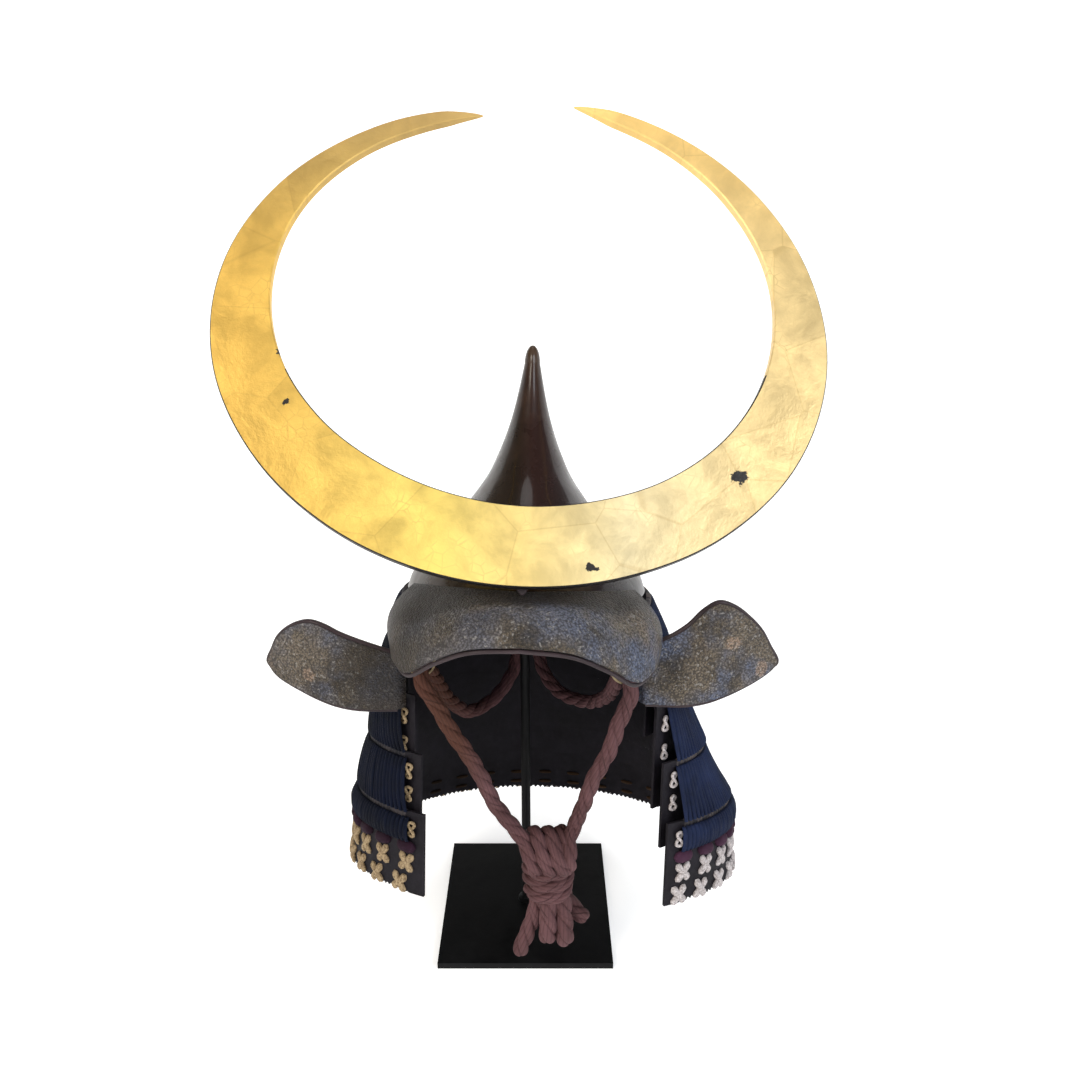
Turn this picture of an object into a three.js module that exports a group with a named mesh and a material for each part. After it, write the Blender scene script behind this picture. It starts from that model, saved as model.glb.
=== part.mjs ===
// Kabuto (samurai helmet) with a gilt crescent crest, held up by a plain metal stand.
//
// Units are millimetres, +Z is up and the helmet faces -Y. The origin is the centre of the
// underside of the stand's plate. The helmet is built upright in a frame of its own, with the
// bowl's rim at z = 0, and that group is then leaned back on the stand's post. Left and right in
// names are as seen from the front, so left is towards -X.
import * as THREE from 'three';

// ---------------------------------------------------------------- driving dimensions
const GAP = 0.4; // clearance between pieces that touch

const STAND = { plate: 150, plateThickness: 6, postRadius: 4, padRadius: 26, padThickness: 5 };
const HELMET = { x: 2, y: 0, rimHeight: 325, leanBack: 12, yaw: -1.5, roll: 1.2 };

const BOWL_WALL = 2.5;
const BOWL_KEEL = 0.08; // how far the fore and aft ridge stands out, as a share of the length
const BOWL_ROWS = [
  { height: 0, halfWidth: 94, halfLength: 112 },
  { height: 10, halfWidth: 90.5, halfLength: 109 },
  { height: 22, halfWidth: 83, halfLength: 102 },
  { height: 38, halfWidth: 70, halfLength: 91 },
  { height: 55, halfWidth: 56, halfLength: 77 },
  { height: 71, halfWidth: 44, halfLength: 62 },
  { height: 87, halfWidth: 33, halfLength: 47 },
  { height: 104, halfWidth: 25, halfLength: 35 },
  { height: 121, halfWidth: 18.5, halfLength: 26 },
  { height: 138, halfWidth: 13.5, halfLength: 18.5 },
  { height: 156, halfWidth: 9.5, halfLength: 12.5 },
  { height: 174, halfWidth: 6, halfLength: 7.5 },
];
const BOWL_PEAK = 188;

const VISOR = { wall: 2.5, rootSpan: 60, rootHeight: 15, rootDrop: 8, bulge: 10, sway: 2.5, skew: 0.01 };
// The visor's front edge, from its middle to the end over the temple.
const VISOR_EDGE_ROWS = [
  { share: 0, side: 0, reach: 161, height: -9 },
  { share: 0.25, side: 33, reach: 156, height: -13 },
  { share: 0.45, side: 57, reach: 144, height: -25 },
  { share: 0.62, side: 75, reach: 128, height: -38 },
  { share: 0.8, side: 88, reach: 105, height: -36 },
  { share: 1, side: 94, reach: 78, height: -38 },
];
const VISOR_RIM_RADIUS = 2;

const CREST_HOLDER = { width: 9, depth: 5, height: 40, below: 4 };
const CRESCENT = { x: 2, y: -131.8, z: 23.8, lean: 24, yaw: 5, roll: -1.2, thickness: 7, centre: 195 };
// Radii of the crescent's two edges about a centre inside it, by angle from the lowest point.
// The board was cut by hand, so its two arms differ a little.
const CRESCENT_ROWS = [
  { angle: -172, outer: 177.5, inner: 171.5 },
  { angle: -155, outer: 185.5, inner: 172.5 },
  { angle: -140, outer: 192, inner: 175.5 },
  { angle: -120, outer: 202.5, inner: 178 },
  { angle: -100, outer: 210.5, inner: 175 },
  { angle: -80, outer: 211.5, inner: 167 },
  { angle: -60, outer: 206, inner: 155.5 },
  { angle: -40, outer: 199.5, inner: 145 },
  { angle: -20, outer: 195.5, inner: 140 },
  { angle: 0, outer: 196, inner: 140.5 },
  { angle: 20, outer: 201.5, inner: 146 },
  { angle: 40, outer: 211.5, inner: 157.5 },
  { angle: 60, outer: 220.5, inner: 170.5 },
  { angle: 80, outer: 223, inner: 181.5 },
  { angle: 100, outer: 218.5, inner: 187.5 },
  { angle: 120, outer: 210.5, inner: 187.5 },
  { angle: 140, outer: 201.5, inner: 185.5 },
  { angle: 155, outer: 195.5, inner: 184 },
  { angle: 166, outer: 192, inner: 186.5 },
];
const CRESCENT_STEPS = 56;

// Neck guard: five stiff lames, each hung outside the one above, open at the face.
const LAME_WALL = 2.2;
const LAME_REAR_SPREAD = 3; // how much further back a lame's lower edge stands than its top
// rise is how much higher a lame hangs at its front ends; left and right are how far from the
// middle those ends stop, and sway moves the whole lame to the right.
const LAMES = [
  {
    top: -3, bottom: -63, topWidth: 97.5, bottomWidth: 103, rear: 121, rise: 0,
    endY: -56, left: 82, right: 88, sway: 0,
  },
  {
    top: -43, bottom: -111, topWidth: 110, bottomWidth: 115, rear: 129, rise: 7,
    endY: -55, left: 88, right: 92, sway: 2,
  },
  {
    top: -87, bottom: -169, topWidth: 122, bottomWidth: 127, rear: 137, rise: 12,
    endY: -64, left: 84, right: 96, sway: 5,
  },
  {
    top: -134, bottom: -200, topWidth: 135, bottomWidth: 139, rear: 145, rise: 16,
    endY: -72, left: 84, right: 96, sway: 11,
  },
  {
    top: -177, bottom: -242, topWidth: 151, bottomWidth: 159, rear: 155, rise: 16,
    endY: -80, left: 87, right: 93, sway: 18,
  },
];
const LACING = { thickness: 2.6, lip: 6, endMargin: 12, lastBottom: -214 };

// Turned-back wings. Points run outwards from the root: reach out from it, and height.
const WING = { wall: 3, rootX: 94, rootY: -69, tipY: -56, fold: 7, rimRadius: 1.8 };
const WINGS = [
  {
    name: 'left', side: -1,
    upper: [[0, -43], [35, -31], [61, -22], [83, -33], [94, -54]],
    lower: [[0, -82], [35, -80], [68, -70], [87, -62], [94, -54]],
  },
  {
    name: 'right', side: 1,
    upper: [[0, -32], [22, -19], [46, 1], [73, -15], [91, -43]],
    lower: [[0, -72], [34, -69], [66, -58], [84, -49], [91, -43]],
  },
];

const CORD_RADIUS = 6.2;
const CORD_STEP = 14;
const CORD_RING = { radius: 10, wire: 1.4 };
const KNOT = { x: 19.5, y: -80, top: 152, bottom: 64, lean: 1 };
const KNOT_ROWS = [
  { along: 0, radius: 14 },
  { along: 4, radius: 19.5 },
  { along: 40, radius: 21.5 },
  { along: 58, radius: 23 },
  { along: 82, radius: 22.5 },
  { along: 88, radius: 17 },
];
// Centre lines of the cord's free stretches, from end to end.
const CORD_ROUTES = {
  cord_loop_left: [
    [2.6, 97.6, 293.4], [0.6, 97.6, 293.4], [-1.4, 97.6, 293.4], [-6, 97.2, 290.5], [-8, 96, 281],
    [-7.5, 94, 254], [-7.5, 90, 231], [-9.5, 81, 214], [-15, 66, 204], [-28, 45, 194.5],
    [-48, 20, 195], [-63, -10, 224], [-69.5, -40, 260], [-73, -56, 279.5], [-75, -62.5, 288],
    [-75.8, -66.4, 291.6], [-75.8, -68, 292], [-75.8, -69.6, 292],
  ],
  cord_loop_right: [
    [3.4, 97.6, 293.4], [5.4, 97.6, 293.4], [7.4, 97.6, 293.4], [12, 97.2, 290.5], [14, 96, 281],
    [12.5, 94, 254], [11, 91, 231], [12, 83, 214], [18, 69, 203], [31, 50, 196], [54, 22, 203],
    [68, -8, 226], [72.5, -40, 258], [74, -57, 278], [76, -67, 286.5], [76.5, -71.3, 288],
    [76.5, -73, 288.2], [76.5, -74.6, 288.2],
  ],
  cord_run_left: [
    [-75.8, -70.4, 292], [-75.8, -72, 292], [-75.8, -74.5, 291.4], [-75, -80, 287.5],
    [-72.4, -84, 279], [-64.2, -85.5, 266], [-54, -86, 244], [-41, -86, 221.4], [-31.7, -85, 200.8],
    [-22.3, -84, 176.2], [-8, -81.5, 152],
  ],
  cord_run_right: [
    [76.5, -75.4, 288.2], [76.5, -77, 288.2], [76.8, -79.5, 287.8], [78, -84, 284.5], [79, -87, 277],
    [77, -87.5, 268], [71, -88, 252], [64, -87, 225.4], [53.5, -86, 201.5], [46.4, -84, 175.9],
    [40.5, -81.5, 157],
  ],
  cord_tail_left: [[8, -82, 57], [4, -83, 46], [-1.5, -84, 34], [-6, -84, 24]],
  cord_bight_left: [[20, -89, 57], [20, -90, 50], [20, -90, 43]],
  cord_bight_right: [[33, -84, 57], [33.4, -85, 48], [33.6, -85, 39]],
  cord_tail_right: [[43, -76, 60], [47, -76, 55], [51, -76, 50]],
};

// ---------------------------------------------------------------- materials
function material(color, roughness, metalness) {
  return new THREE.MeshStandardMaterial({ color, roughness, metalness });
}

const MATERIALS = {
  gold: material(0xcfa24a, 0.35, 0.8),
  lacquer: material(0x2b201c, 0.25, 0.1),
  texturedLacquer: material(0x5e5a52, 0.6, 0.2),
  rim: material(0x4a2a24, 0.45, 0.1),
  lacing: material(0x232c46, 0.8, 0),
  cord: material(0x9a7268, 0.9, 0),
  steel: material(0x151517, 0.5, 0.4),
  ring: material(0x8a7a56, 0.4, 0.8),
};

// ---------------------------------------------------------------- geometry helpers
const radians = THREE.MathUtils.degToRad;

/** Collects triangles with shared corners and gives them as one closed geometry. */
class Solid {
  constructor() {
    this.index = new Map();
    this.points = [];
    this.faces = [];
  }

  corner(point) {
    const key = point.toArray().map((value) => Math.round(value * 1e4)).join(' ');
    if (!this.index.has(key)) {
      this.index.set(key, this.points.length);
      this.points.push(point);
    }
    return this.index.get(key);
  }

  triangle(a, b, c) {
    const face = [this.corner(a), this.corner(b), this.corner(c)];
    if (new Set(face).size === 3) this.faces.push(face);
  }

  quad(a, b, c, d) {
    this.triangle(a, b, c);
    this.triangle(a, c, d);
  }

  volume() {
    const sixfold = this.faces.map(([a, b, c]) => {
      const cross = new THREE.Vector3().crossVectors(this.points[b], this.points[c]);
      return this.points[a].dot(cross);
    });
    return sixfold.reduce((sum, value) => sum + value, 0) / 6;
  }

  geometry() {
    const outward = this.volume() > 0;
    const faces = outward ? this.faces : this.faces.map(([a, b, c]) => [a, c, b]);
    const geometry = new THREE.BufferGeometry();
    const positions = this.points.flatMap((point) => point.toArray());
    geometry.setAttribute('position', new THREE.Float32BufferAttribute(positions, 3));
    geometry.setIndex(faces.flat());
    geometry.computeVertexNormals();
    return geometry;
  }
}

function grid(columns, rows, place) {
  return Array.from({ length: columns + 1 }, (_, i) =>
    Array.from({ length: rows + 1 }, (_, j) => place(i / columns, j / rows)));
}

/** Closes the space between two matching grids of points; closed grids meet along u. */
function between(outer, inner, closed = false) {
  const solid = new Solid();
  const columns = outer.length - 1;
  const rows = outer[0].length - 1;
  for (let i = 0; i < columns; i += 1) {
    for (let j = 0; j < rows; j += 1) {
      solid.quad(outer[i][j], outer[i + 1][j], outer[i + 1][j + 1], outer[i][j + 1]);
      solid.quad(inner[i][j], inner[i][j + 1], inner[i + 1][j + 1], inner[i + 1][j]);
    }
    solid.quad(outer[i][0], inner[i][0], inner[i + 1][0], outer[i + 1][0]);
    solid.quad(outer[i][rows], outer[i + 1][rows], inner[i + 1][rows], inner[i][rows]);
  }
  if (!closed) {
    for (let j = 0; j < rows; j += 1) {
      solid.quad(outer[0][j], outer[0][j + 1], inner[0][j + 1], inner[0][j]);
      solid.quad(outer[columns][j], inner[columns][j], inner[columns][j + 1], outer[columns][j + 1]);
    }
  }
  return solid.geometry();
}

/** The surface place(u, v), moved out along its own normal. */
function offset(columns, rows, distance, place) {
  const step = 1e-4;
  return grid(columns, rows, (u, v) => {
    const alongU = place(Math.min(u + step, 1), v).sub(place(Math.max(u - step, 0), v));
    const alongV = place(u, Math.min(v + step, 1)).sub(place(u, Math.max(v - step, 0)));
    return place(u, v).addScaledVector(alongU.cross(alongV).normalize(), distance);
  });
}

/** A wall between two offsets of the surface place(u, v). */
function wall(columns, rows, near, far, place) {
  return between(offset(columns, rows, near, place), offset(columns, rows, far, place));
}

/** Reads a smooth curve through the rows of a table, by the value of its first column. */
function readRows(rows, column, value) {
  const [key] = Object.keys(rows[0]);
  const last = rows.length - 1;
  const next = THREE.MathUtils.clamp(rows.findIndex((row) => row[key] >= value), 1, last);
  const at = (i) => rows[THREE.MathUtils.clamp(i, 0, last)];
  const share = (value - at(next - 1)[key]) / (at(next)[key] - at(next - 1)[key]);
  const spread = at(next)[key] - at(next - 1)[key];
  const slope = (i) => {
    const rise = at(i + 1)[column] - at(i - 1)[column];
    return (rise / (at(i + 1)[key] - at(i - 1)[key])) * spread;
  };
  const s2 = share * share;
  const s3 = s2 * share;
  return (2 * s3 - 3 * s2 + 1) * at(next - 1)[column] + (s3 - 2 * s2 + share) * slope(next - 1)
    + (3 * s2 - 2 * s3) * at(next)[column] + (s3 - s2) * slope(next);
}

function tube(points, radius, sides, steps) {
  const section = new THREE.Shape();
  for (let i = 0; i < sides; i += 1) {
    const angle = (i / sides) * 2 * Math.PI;
    const corner = [radius * Math.cos(angle), radius * Math.sin(angle)];
    if (i === 0) section.moveTo(...corner);
    else section.lineTo(...corner);
  }
  section.closePath();
  const extrudePath = new THREE.CatmullRomCurve3(points);
  return new THREE.ExtrudeGeometry(section, { steps, extrudePath, curveSegments: 1 });
}

function piece(parent, name, geometry, surface) {
  const mesh = new THREE.Mesh(geometry, surface);
  mesh.name = name;
  parent.add(mesh);
  return mesh;
}

// ---------------------------------------------------------------- stand
function addStand(parent) {
  const plate = new THREE.BoxGeometry(STAND.plate, STAND.plate, STAND.plateThickness);
  piece(parent, 'stand_plate', plate, MATERIALS.steel).position.z = STAND.plateThickness / 2;

  const foot = STAND.plateThickness + GAP;
  const padTop = HELMET.rimHeight + 76;
  const postTop = padTop - STAND.padThickness - GAP;
  const post = new THREE.CylinderGeometry(STAND.postRadius, STAND.postRadius, postTop - foot, 16);
  const postMesh = piece(parent, 'stand_post', post, MATERIALS.steel);
  postMesh.rotation.x = Math.PI / 2;
  postMesh.position.z = (foot + postTop) / 2;

  const pad = new THREE.CylinderGeometry(STAND.padRadius - 6, STAND.padRadius, STAND.padThickness, 24);
  const padMesh = piece(parent, 'stand_pad', pad, MATERIALS.steel);
  padMesh.rotation.x = Math.PI / 2;
  padMesh.position.set(0, 0, padTop - STAND.padThickness / 2);
}

// ---------------------------------------------------------------- bowl
/** A point of the bowl's outline at a height, by angle from the right round the back. */
function bowlPoint(angle, height, clearance) {
  const width = readRows(BOWL_ROWS, 'halfWidth', height) + clearance;
  const length = readRows(BOWL_ROWS, 'halfLength', height) + clearance;
  const ridge = 1 + BOWL_KEEL * (1 - Math.abs(Math.cos(angle))) ** 2;
  return new THREE.Vector3(
    width * ridge * Math.cos(angle),
    length * ridge * Math.sin(angle),
    height,
  );
}

function bowlSide(clearance, peak) {
  const heights = BOWL_ROWS.map((row) => row.height);
  const rows = heights.length;
  return grid(32, rows, (u, v) => {
    const row = Math.round(v * rows);
    if (row === rows) return new THREE.Vector3(0, 0, peak);
    return bowlPoint(u * 2 * Math.PI, heights[row], clearance);
  });
}

function addBowl(parent) {
  const outer = bowlSide(0, BOWL_PEAK);
  const inner = bowlSide(-BOWL_WALL, BOWL_PEAK - 4 * BOWL_WALL);
  piece(parent, 'bowl', between(outer, inner, true), MATERIALS.lacquer);
}

// ---------------------------------------------------------------- visor
function visorPoint(across, out) {
  const root = radians(across * VISOR.rootSpan) - Math.PI / 2;
  const inner = bowlPoint(root, VISOR.rootHeight - VISOR.rootDrop * across * across, 2 * GAP);

  const share = Math.abs(across);
  const side = Math.sign(across) * readRows(VISOR_EDGE_ROWS, 'side', share);
  const height = readRows(VISOR_EDGE_ROWS, 'height', share) - VISOR.skew * side;
  const reach = readRows(VISOR_EDGE_ROWS, 'reach', share);
  const outer = new THREE.Vector3(side + VISOR.sway, -reach, height);

  const swell = VISOR.bulge * Math.sin(out * Math.PI);
  const away = new THREE.Vector3(Math.cos(root), Math.sin(root), 0.35);
  return inner.lerp(outer, out).addScaledVector(away, swell);
}

function addVisor(parent) {
  const surface = (u, v) => visorPoint(2 * u - 1, v);
  piece(parent, 'visor', wall(24, 7, -VISOR.wall, 0, surface), MATERIALS.texturedLacquer);

  const drop = new THREE.Vector3(0, 0.5, -1).setLength(VISOR_RIM_RADIUS + VISOR.wall);
  const edge = Array.from({ length: 17 }, (_, i) => visorPoint(i / 8 - 1, 1).add(drop));
  piece(parent, 'visor_rim', tube(edge, VISOR_RIM_RADIUS, 6, 26), MATERIALS.rim);
}

// ---------------------------------------------------------------- crest
function crescentGrid(side) {
  const start = CRESCENT_ROWS[0].angle;
  const end = CRESCENT_ROWS[CRESCENT_ROWS.length - 1].angle;
  return grid(CRESCENT_STEPS, 1, (u, v) => {
    const angle = THREE.MathUtils.lerp(start, end, u);
    const radius = readRows(CRESCENT_ROWS, v === 0 ? 'inner' : 'outer', angle);
    const turn = radians(angle);
    return new THREE.Vector3(
      radius * Math.sin(turn),
      (side * CRESCENT.thickness) / 2,
      CRESCENT.centre - radius * Math.cos(turn),
    );
  });
}

function addCrest(parent) {
  const crest = new THREE.Group();
  crest.position.set(CRESCENT.x, CRESCENT.y, CRESCENT.z);
  crest.rotation.order = 'ZXY';
  crest.rotation.z = radians(CRESCENT.yaw);
  crest.rotation.x = -radians(CRESCENT.lean);
  crest.rotation.y = radians(CRESCENT.roll);
  parent.add(crest);
  piece(crest, 'crescent', between(crescentGrid(-1), crescentGrid(1)), MATERIALS.gold);

  const { width, depth, height } = CREST_HOLDER;
  const peg = piece(crest, 'crest_holder', new THREE.BoxGeometry(width, depth, height), MATERIALS.rim);
  peg.position.set(0, (CRESCENT.thickness + depth) / 2 + GAP, height / 2 - CREST_HOLDER.below);
}

// ---------------------------------------------------------------- neck guard
/** How far a lame's front ends draw it up, at a share of the way from the back to an end. */
function riseAt(lame, share) {
  return (lame.rise * (1 - Math.cos(share * Math.PI))) / 2;
}

/** A point on a lame's outside: share of the way from the back to an end, and height. */
function lamePoint(lame, share, height) {
  const down = (lame.top - height) / (lame.top - lame.bottom);
  const width = THREE.MathUtils.lerp(lame.topWidth, lame.bottomWidth, down);
  const rear = lame.rear - LAME_REAR_SPREAD * (1 - down);
  const end = Math.PI - Math.asin((share < 0 ? lame.left : lame.right) / width);
  const front = lame.endY / Math.cos(end);
  const angle = share * end;
  const y = (Math.cos(angle) > 0 ? rear : front) * Math.cos(angle);
  return new THREE.Vector3(width * Math.sin(angle) + lame.sway, y, height + riseAt(lame, share));
}

function addLame(parent, lame, name) {
  const plate = (u, v) =>
    lamePoint(lame, 2 * u - 1, THREE.MathUtils.lerp(lame.top, lame.bottom, v));
  piece(parent, name, wall(36, 2, -LAME_WALL, 0, plate), MATERIALS.lacquer);
}

/** The layer of silk between a lame's upper lip and the top of the next lame down. */
function addLacing(parent, lame, next, name) {
  const top = lame.top - LACING.lip;
  const reach = 1 - LACING.endMargin / (2.2 * lame.bottomWidth);
  const laces = (u, v) => {
    const share = (2 * u - 1) * reach;
    const meeting = next && next.top + 2 * GAP + riseAt(next, share) - riseAt(lame, share);
    return lamePoint(lame, share, THREE.MathUtils.lerp(top, meeting || LACING.lastBottom, v));
  };
  const layer = wall(36, 1, 2 * GAP, 2 * GAP + LACING.thickness, laces);
  piece(parent, name, layer, MATERIALS.lacing);
}

function addNeckGuard(parent) {
  LAMES.forEach((lame, i) => {
    addLame(parent, lame, `lame_${i + 1}`);
    addLacing(parent, lame, LAMES[i + 1], `lacing_${i + 1}`);
  });
}

// ---------------------------------------------------------------- wings
function wingEdge(points) {
  const flat = points.map(([reach, height]) => new THREE.Vector3(reach, 0, height));
  return new THREE.CatmullRomCurve3(flat);
}

function placeOnWing(wing, point) {
  const share = point.x / wing.upper[wing.upper.length - 1][0];
  const hollow = 6 * Math.sin(share * Math.PI);
  return new THREE.Vector3(
    wing.side * (WING.rootX + point.x),
    THREE.MathUtils.lerp(WING.rootY, WING.tipY, share * share) - hollow,
    point.z,
  );
}

/** The wing's face, with the narrow fold that turns back inside its root. */
function wingPoint(wing, upper, lower, u, v) {
  const start = WING.fold / (WING.fold + wing.upper[wing.upper.length - 1][0]);
  const along = Math.max(0, (u - start) / (1 - start));
  const point = placeOnWing(wing, upper.getPoint(along).lerp(lower.getPoint(along), v));
  const back = WING.fold * Math.max(0, 1 - u / start);
  return point.add(new THREE.Vector3(-0.45 * wing.side * back, 0.9 * back, 0));
}

function addWing(parent, wing) {
  const upper = wingEdge(wing.upper);
  const lower = wingEdge(wing.lower);
  const surface = (u, v) => wingPoint(wing, upper, lower, u, v);
  const behind = wing.side * -WING.wall;
  piece(parent, `wing_${wing.name}`, wall(22, 5, 0, behind, surface), MATERIALS.texturedLacquer);

  const outline = [];
  for (let i = 0; i <= 8; i += 1) outline.push(upper.getPoint(i / 8));
  for (let i = 7; i >= 0; i -= 1) outline.push(lower.getPoint(i / 8));
  const middle = new THREE.Vector3(wing.upper[2][0] * 0.7, 0, -55);
  const rim = outline.map((point) => {
    const outwards = point.clone().sub(middle).setLength(WING.rimRadius + 8 * GAP);
    return placeOnWing(wing, point.clone().add(outwards));
  });
  piece(parent, `wing_rim_${wing.name}`, tube(rim, WING.rimRadius, 6, 28), MATERIALS.rim);
}

// ---------------------------------------------------------------- chin cord
function addCordRings(parent) {
  const ring = () => new THREE.TorusGeometry(CORD_RING.radius, CORD_RING.wire, 6, 14);
  const places = [
    { name: 'left', at: [-75, -64, -48.2], pitch: 90, turn: 0 },
    { name: 'right', at: [76.5, -64, -49.4], pitch: 90, turn: 0 },
    { name: 'rear', at: [-1.4, 102, -9], pitch: 0, turn: 90 },
  ];
  places.forEach(({ name, at, pitch, turn }) => {
    const mesh = piece(parent, `cord_ring_${name}`, ring(), MATERIALS.ring);
    mesh.position.set(...at);
    mesh.rotation.set(radians(pitch), radians(turn), 0);
  });
}

function addCord(parent) {
  Object.entries(CORD_ROUTES).forEach(([name, route]) => {
    const points = route.map((point) => new THREE.Vector3(...point));
    const length = new THREE.CatmullRomCurve3(points).getLength();
    const steps = Math.ceil(length / CORD_STEP);
    piece(parent, name, tube(points, CORD_RADIUS, 8, steps), MATERIALS.cord);
  });

  const profile = KNOT_ROWS.map(({ along, radius }) => new THREE.Vector2(radius, along));
  const last = KNOT_ROWS[KNOT_ROWS.length - 1].along;
  const outline = [new THREE.Vector2(0, 0), ...profile, new THREE.Vector2(0, last)];
  const knot = piece(parent, 'cord_knot', new THREE.LatheGeometry(outline, 20), MATERIALS.cord);
  knot.rotation.order = 'YXZ';
  knot.rotation.set(Math.PI / 2, -radians(KNOT.lean), 0);
  knot.position.set(KNOT.x, KNOT.y, KNOT.bottom);
}

// ---------------------------------------------------------------- assembly
const part = new THREE.Group();
addStand(part);

const helmet = new THREE.Group();
helmet.rotation.order = 'ZXY';
helmet.rotation.set(-radians(HELMET.leanBack), radians(HELMET.roll), radians(HELMET.yaw));
helmet.position.set(HELMET.x, HELMET.y, HELMET.rimHeight);
part.add(helmet);
addBowl(helmet);
addVisor(helmet);
addCrest(helmet);
addNeckGuard(helmet);
WINGS.forEach((wing) => addWing(helmet, wing));
addCordRings(helmet);
addCord(part);

export default part;
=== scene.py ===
"""The looks of a kabuto helmet on its display stand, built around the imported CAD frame.

Units are metres, +Z is up and the helmet faces -Y. Left and right in names are as seen from the
front. The helmet's own surfaces are worked out upright, with the bowl's rim at z = 0, and
HELMET_MATRIX then leans them back on the stand.
"""
import math
import random
from bisect import bisect_left

import bpy
from mathutils import Matrix, Vector


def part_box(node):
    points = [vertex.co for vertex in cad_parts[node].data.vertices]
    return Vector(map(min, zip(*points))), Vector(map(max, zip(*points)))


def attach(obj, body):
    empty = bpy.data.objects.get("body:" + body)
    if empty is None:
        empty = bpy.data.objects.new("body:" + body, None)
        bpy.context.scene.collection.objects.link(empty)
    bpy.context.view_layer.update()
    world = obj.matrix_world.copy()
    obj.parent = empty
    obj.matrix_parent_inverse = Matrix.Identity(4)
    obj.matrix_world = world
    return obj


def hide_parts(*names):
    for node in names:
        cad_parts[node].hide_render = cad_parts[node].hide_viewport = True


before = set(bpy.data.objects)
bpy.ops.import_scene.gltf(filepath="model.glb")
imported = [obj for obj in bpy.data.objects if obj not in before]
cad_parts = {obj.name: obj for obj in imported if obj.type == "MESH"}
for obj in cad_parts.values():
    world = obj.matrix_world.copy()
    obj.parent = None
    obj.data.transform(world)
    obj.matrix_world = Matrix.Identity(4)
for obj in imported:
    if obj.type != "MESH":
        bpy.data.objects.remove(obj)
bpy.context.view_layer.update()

BODY = "root"
MM = 0.001
GAP = 0.4 * MM
random.seed(11)

# ------------------------------------------------------------------ camera and stage
CAMERA_PLACE = (0.0125, -0.624, 0.591)
CAMERA_PITCH = 69.9
CAMERA_LENS = 28.03
SENSOR_WIDTH = 36

FLOOR_RADIUS = 2.4
WALL_RADIUS = 3.4
WALL_HEIGHT = 1.7

# ------------------------------------------------------------------ chin cord
CORD_RADIUS = 0.0062
ROPE_LAY = 0.05  # length in which a strand goes once round the rope
# The centre lines of the CAD cord's free stretches.
CORD_ROUTES = {
    "cord_loop_left": [
        (0.0026, 0.0976, 0.2934), (0.0006, 0.0976, 0.2934), (-0.0014, 0.0976, 0.2934),
        (-0.006, 0.0972, 0.2905), (-0.008, 0.096, 0.281), (-0.0075, 0.094, 0.254),
        (-0.0075, 0.09, 0.231), (-0.0095, 0.081, 0.214), (-0.015, 0.066, 0.204),
        (-0.028, 0.045, 0.1945), (-0.048, 0.02, 0.195), (-0.063, -0.01, 0.224),
        (-0.0695, -0.04, 0.26), (-0.073, -0.056, 0.2795), (-0.075, -0.0625, 0.288),
        (-0.0758, -0.0664, 0.2916), (-0.0758, -0.068, 0.292), (-0.0758, -0.0696, 0.292),
    ],
    "cord_loop_right": [
        (0.0034, 0.0976, 0.2934), (0.0054, 0.0976, 0.2934), (0.0074, 0.0976, 0.2934),
        (0.012, 0.0972, 0.2905), (0.014, 0.096, 0.281), (0.0125, 0.094, 0.254),
        (0.011, 0.091, 0.231), (0.012, 0.083, 0.214), (0.018, 0.069, 0.203),
        (0.031, 0.05, 0.196), (0.054, 0.022, 0.203), (0.068, -0.008, 0.226),
        (0.0725, -0.04, 0.258), (0.074, -0.057, 0.278), (0.076, -0.067, 0.2865),
        (0.0765, -0.0713, 0.288), (0.0765, -0.073, 0.2882), (0.0765, -0.0746, 0.2882),
    ],
    "cord_run_left": [
        (-0.0758, -0.0704, 0.292), (-0.0758, -0.072, 0.292), (-0.0758, -0.0745, 0.2914),
        (-0.075, -0.08, 0.2875), (-0.0724, -0.084, 0.279), (-0.0642, -0.0855, 0.266),
        (-0.054, -0.086, 0.244), (-0.041, -0.086, 0.2214), (-0.0317, -0.085, 0.2008),
        (-0.0223, -0.084, 0.1762), (-0.008, -0.0815, 0.152),
    ],
    "cord_run_right": [
        (0.0765, -0.0754, 0.2882), (0.0765, -0.077, 0.2882), (0.0768, -0.0795, 0.2878),
        (0.078, -0.084, 0.2845), (0.079, -0.087, 0.277), (0.077, -0.0875, 0.268),
        (0.071, -0.088, 0.252), (0.064, -0.087, 0.2254), (0.0535, -0.086, 0.2015),
        (0.0464, -0.084, 0.1759), (0.0405, -0.0815, 0.157),
    ],
}
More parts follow.
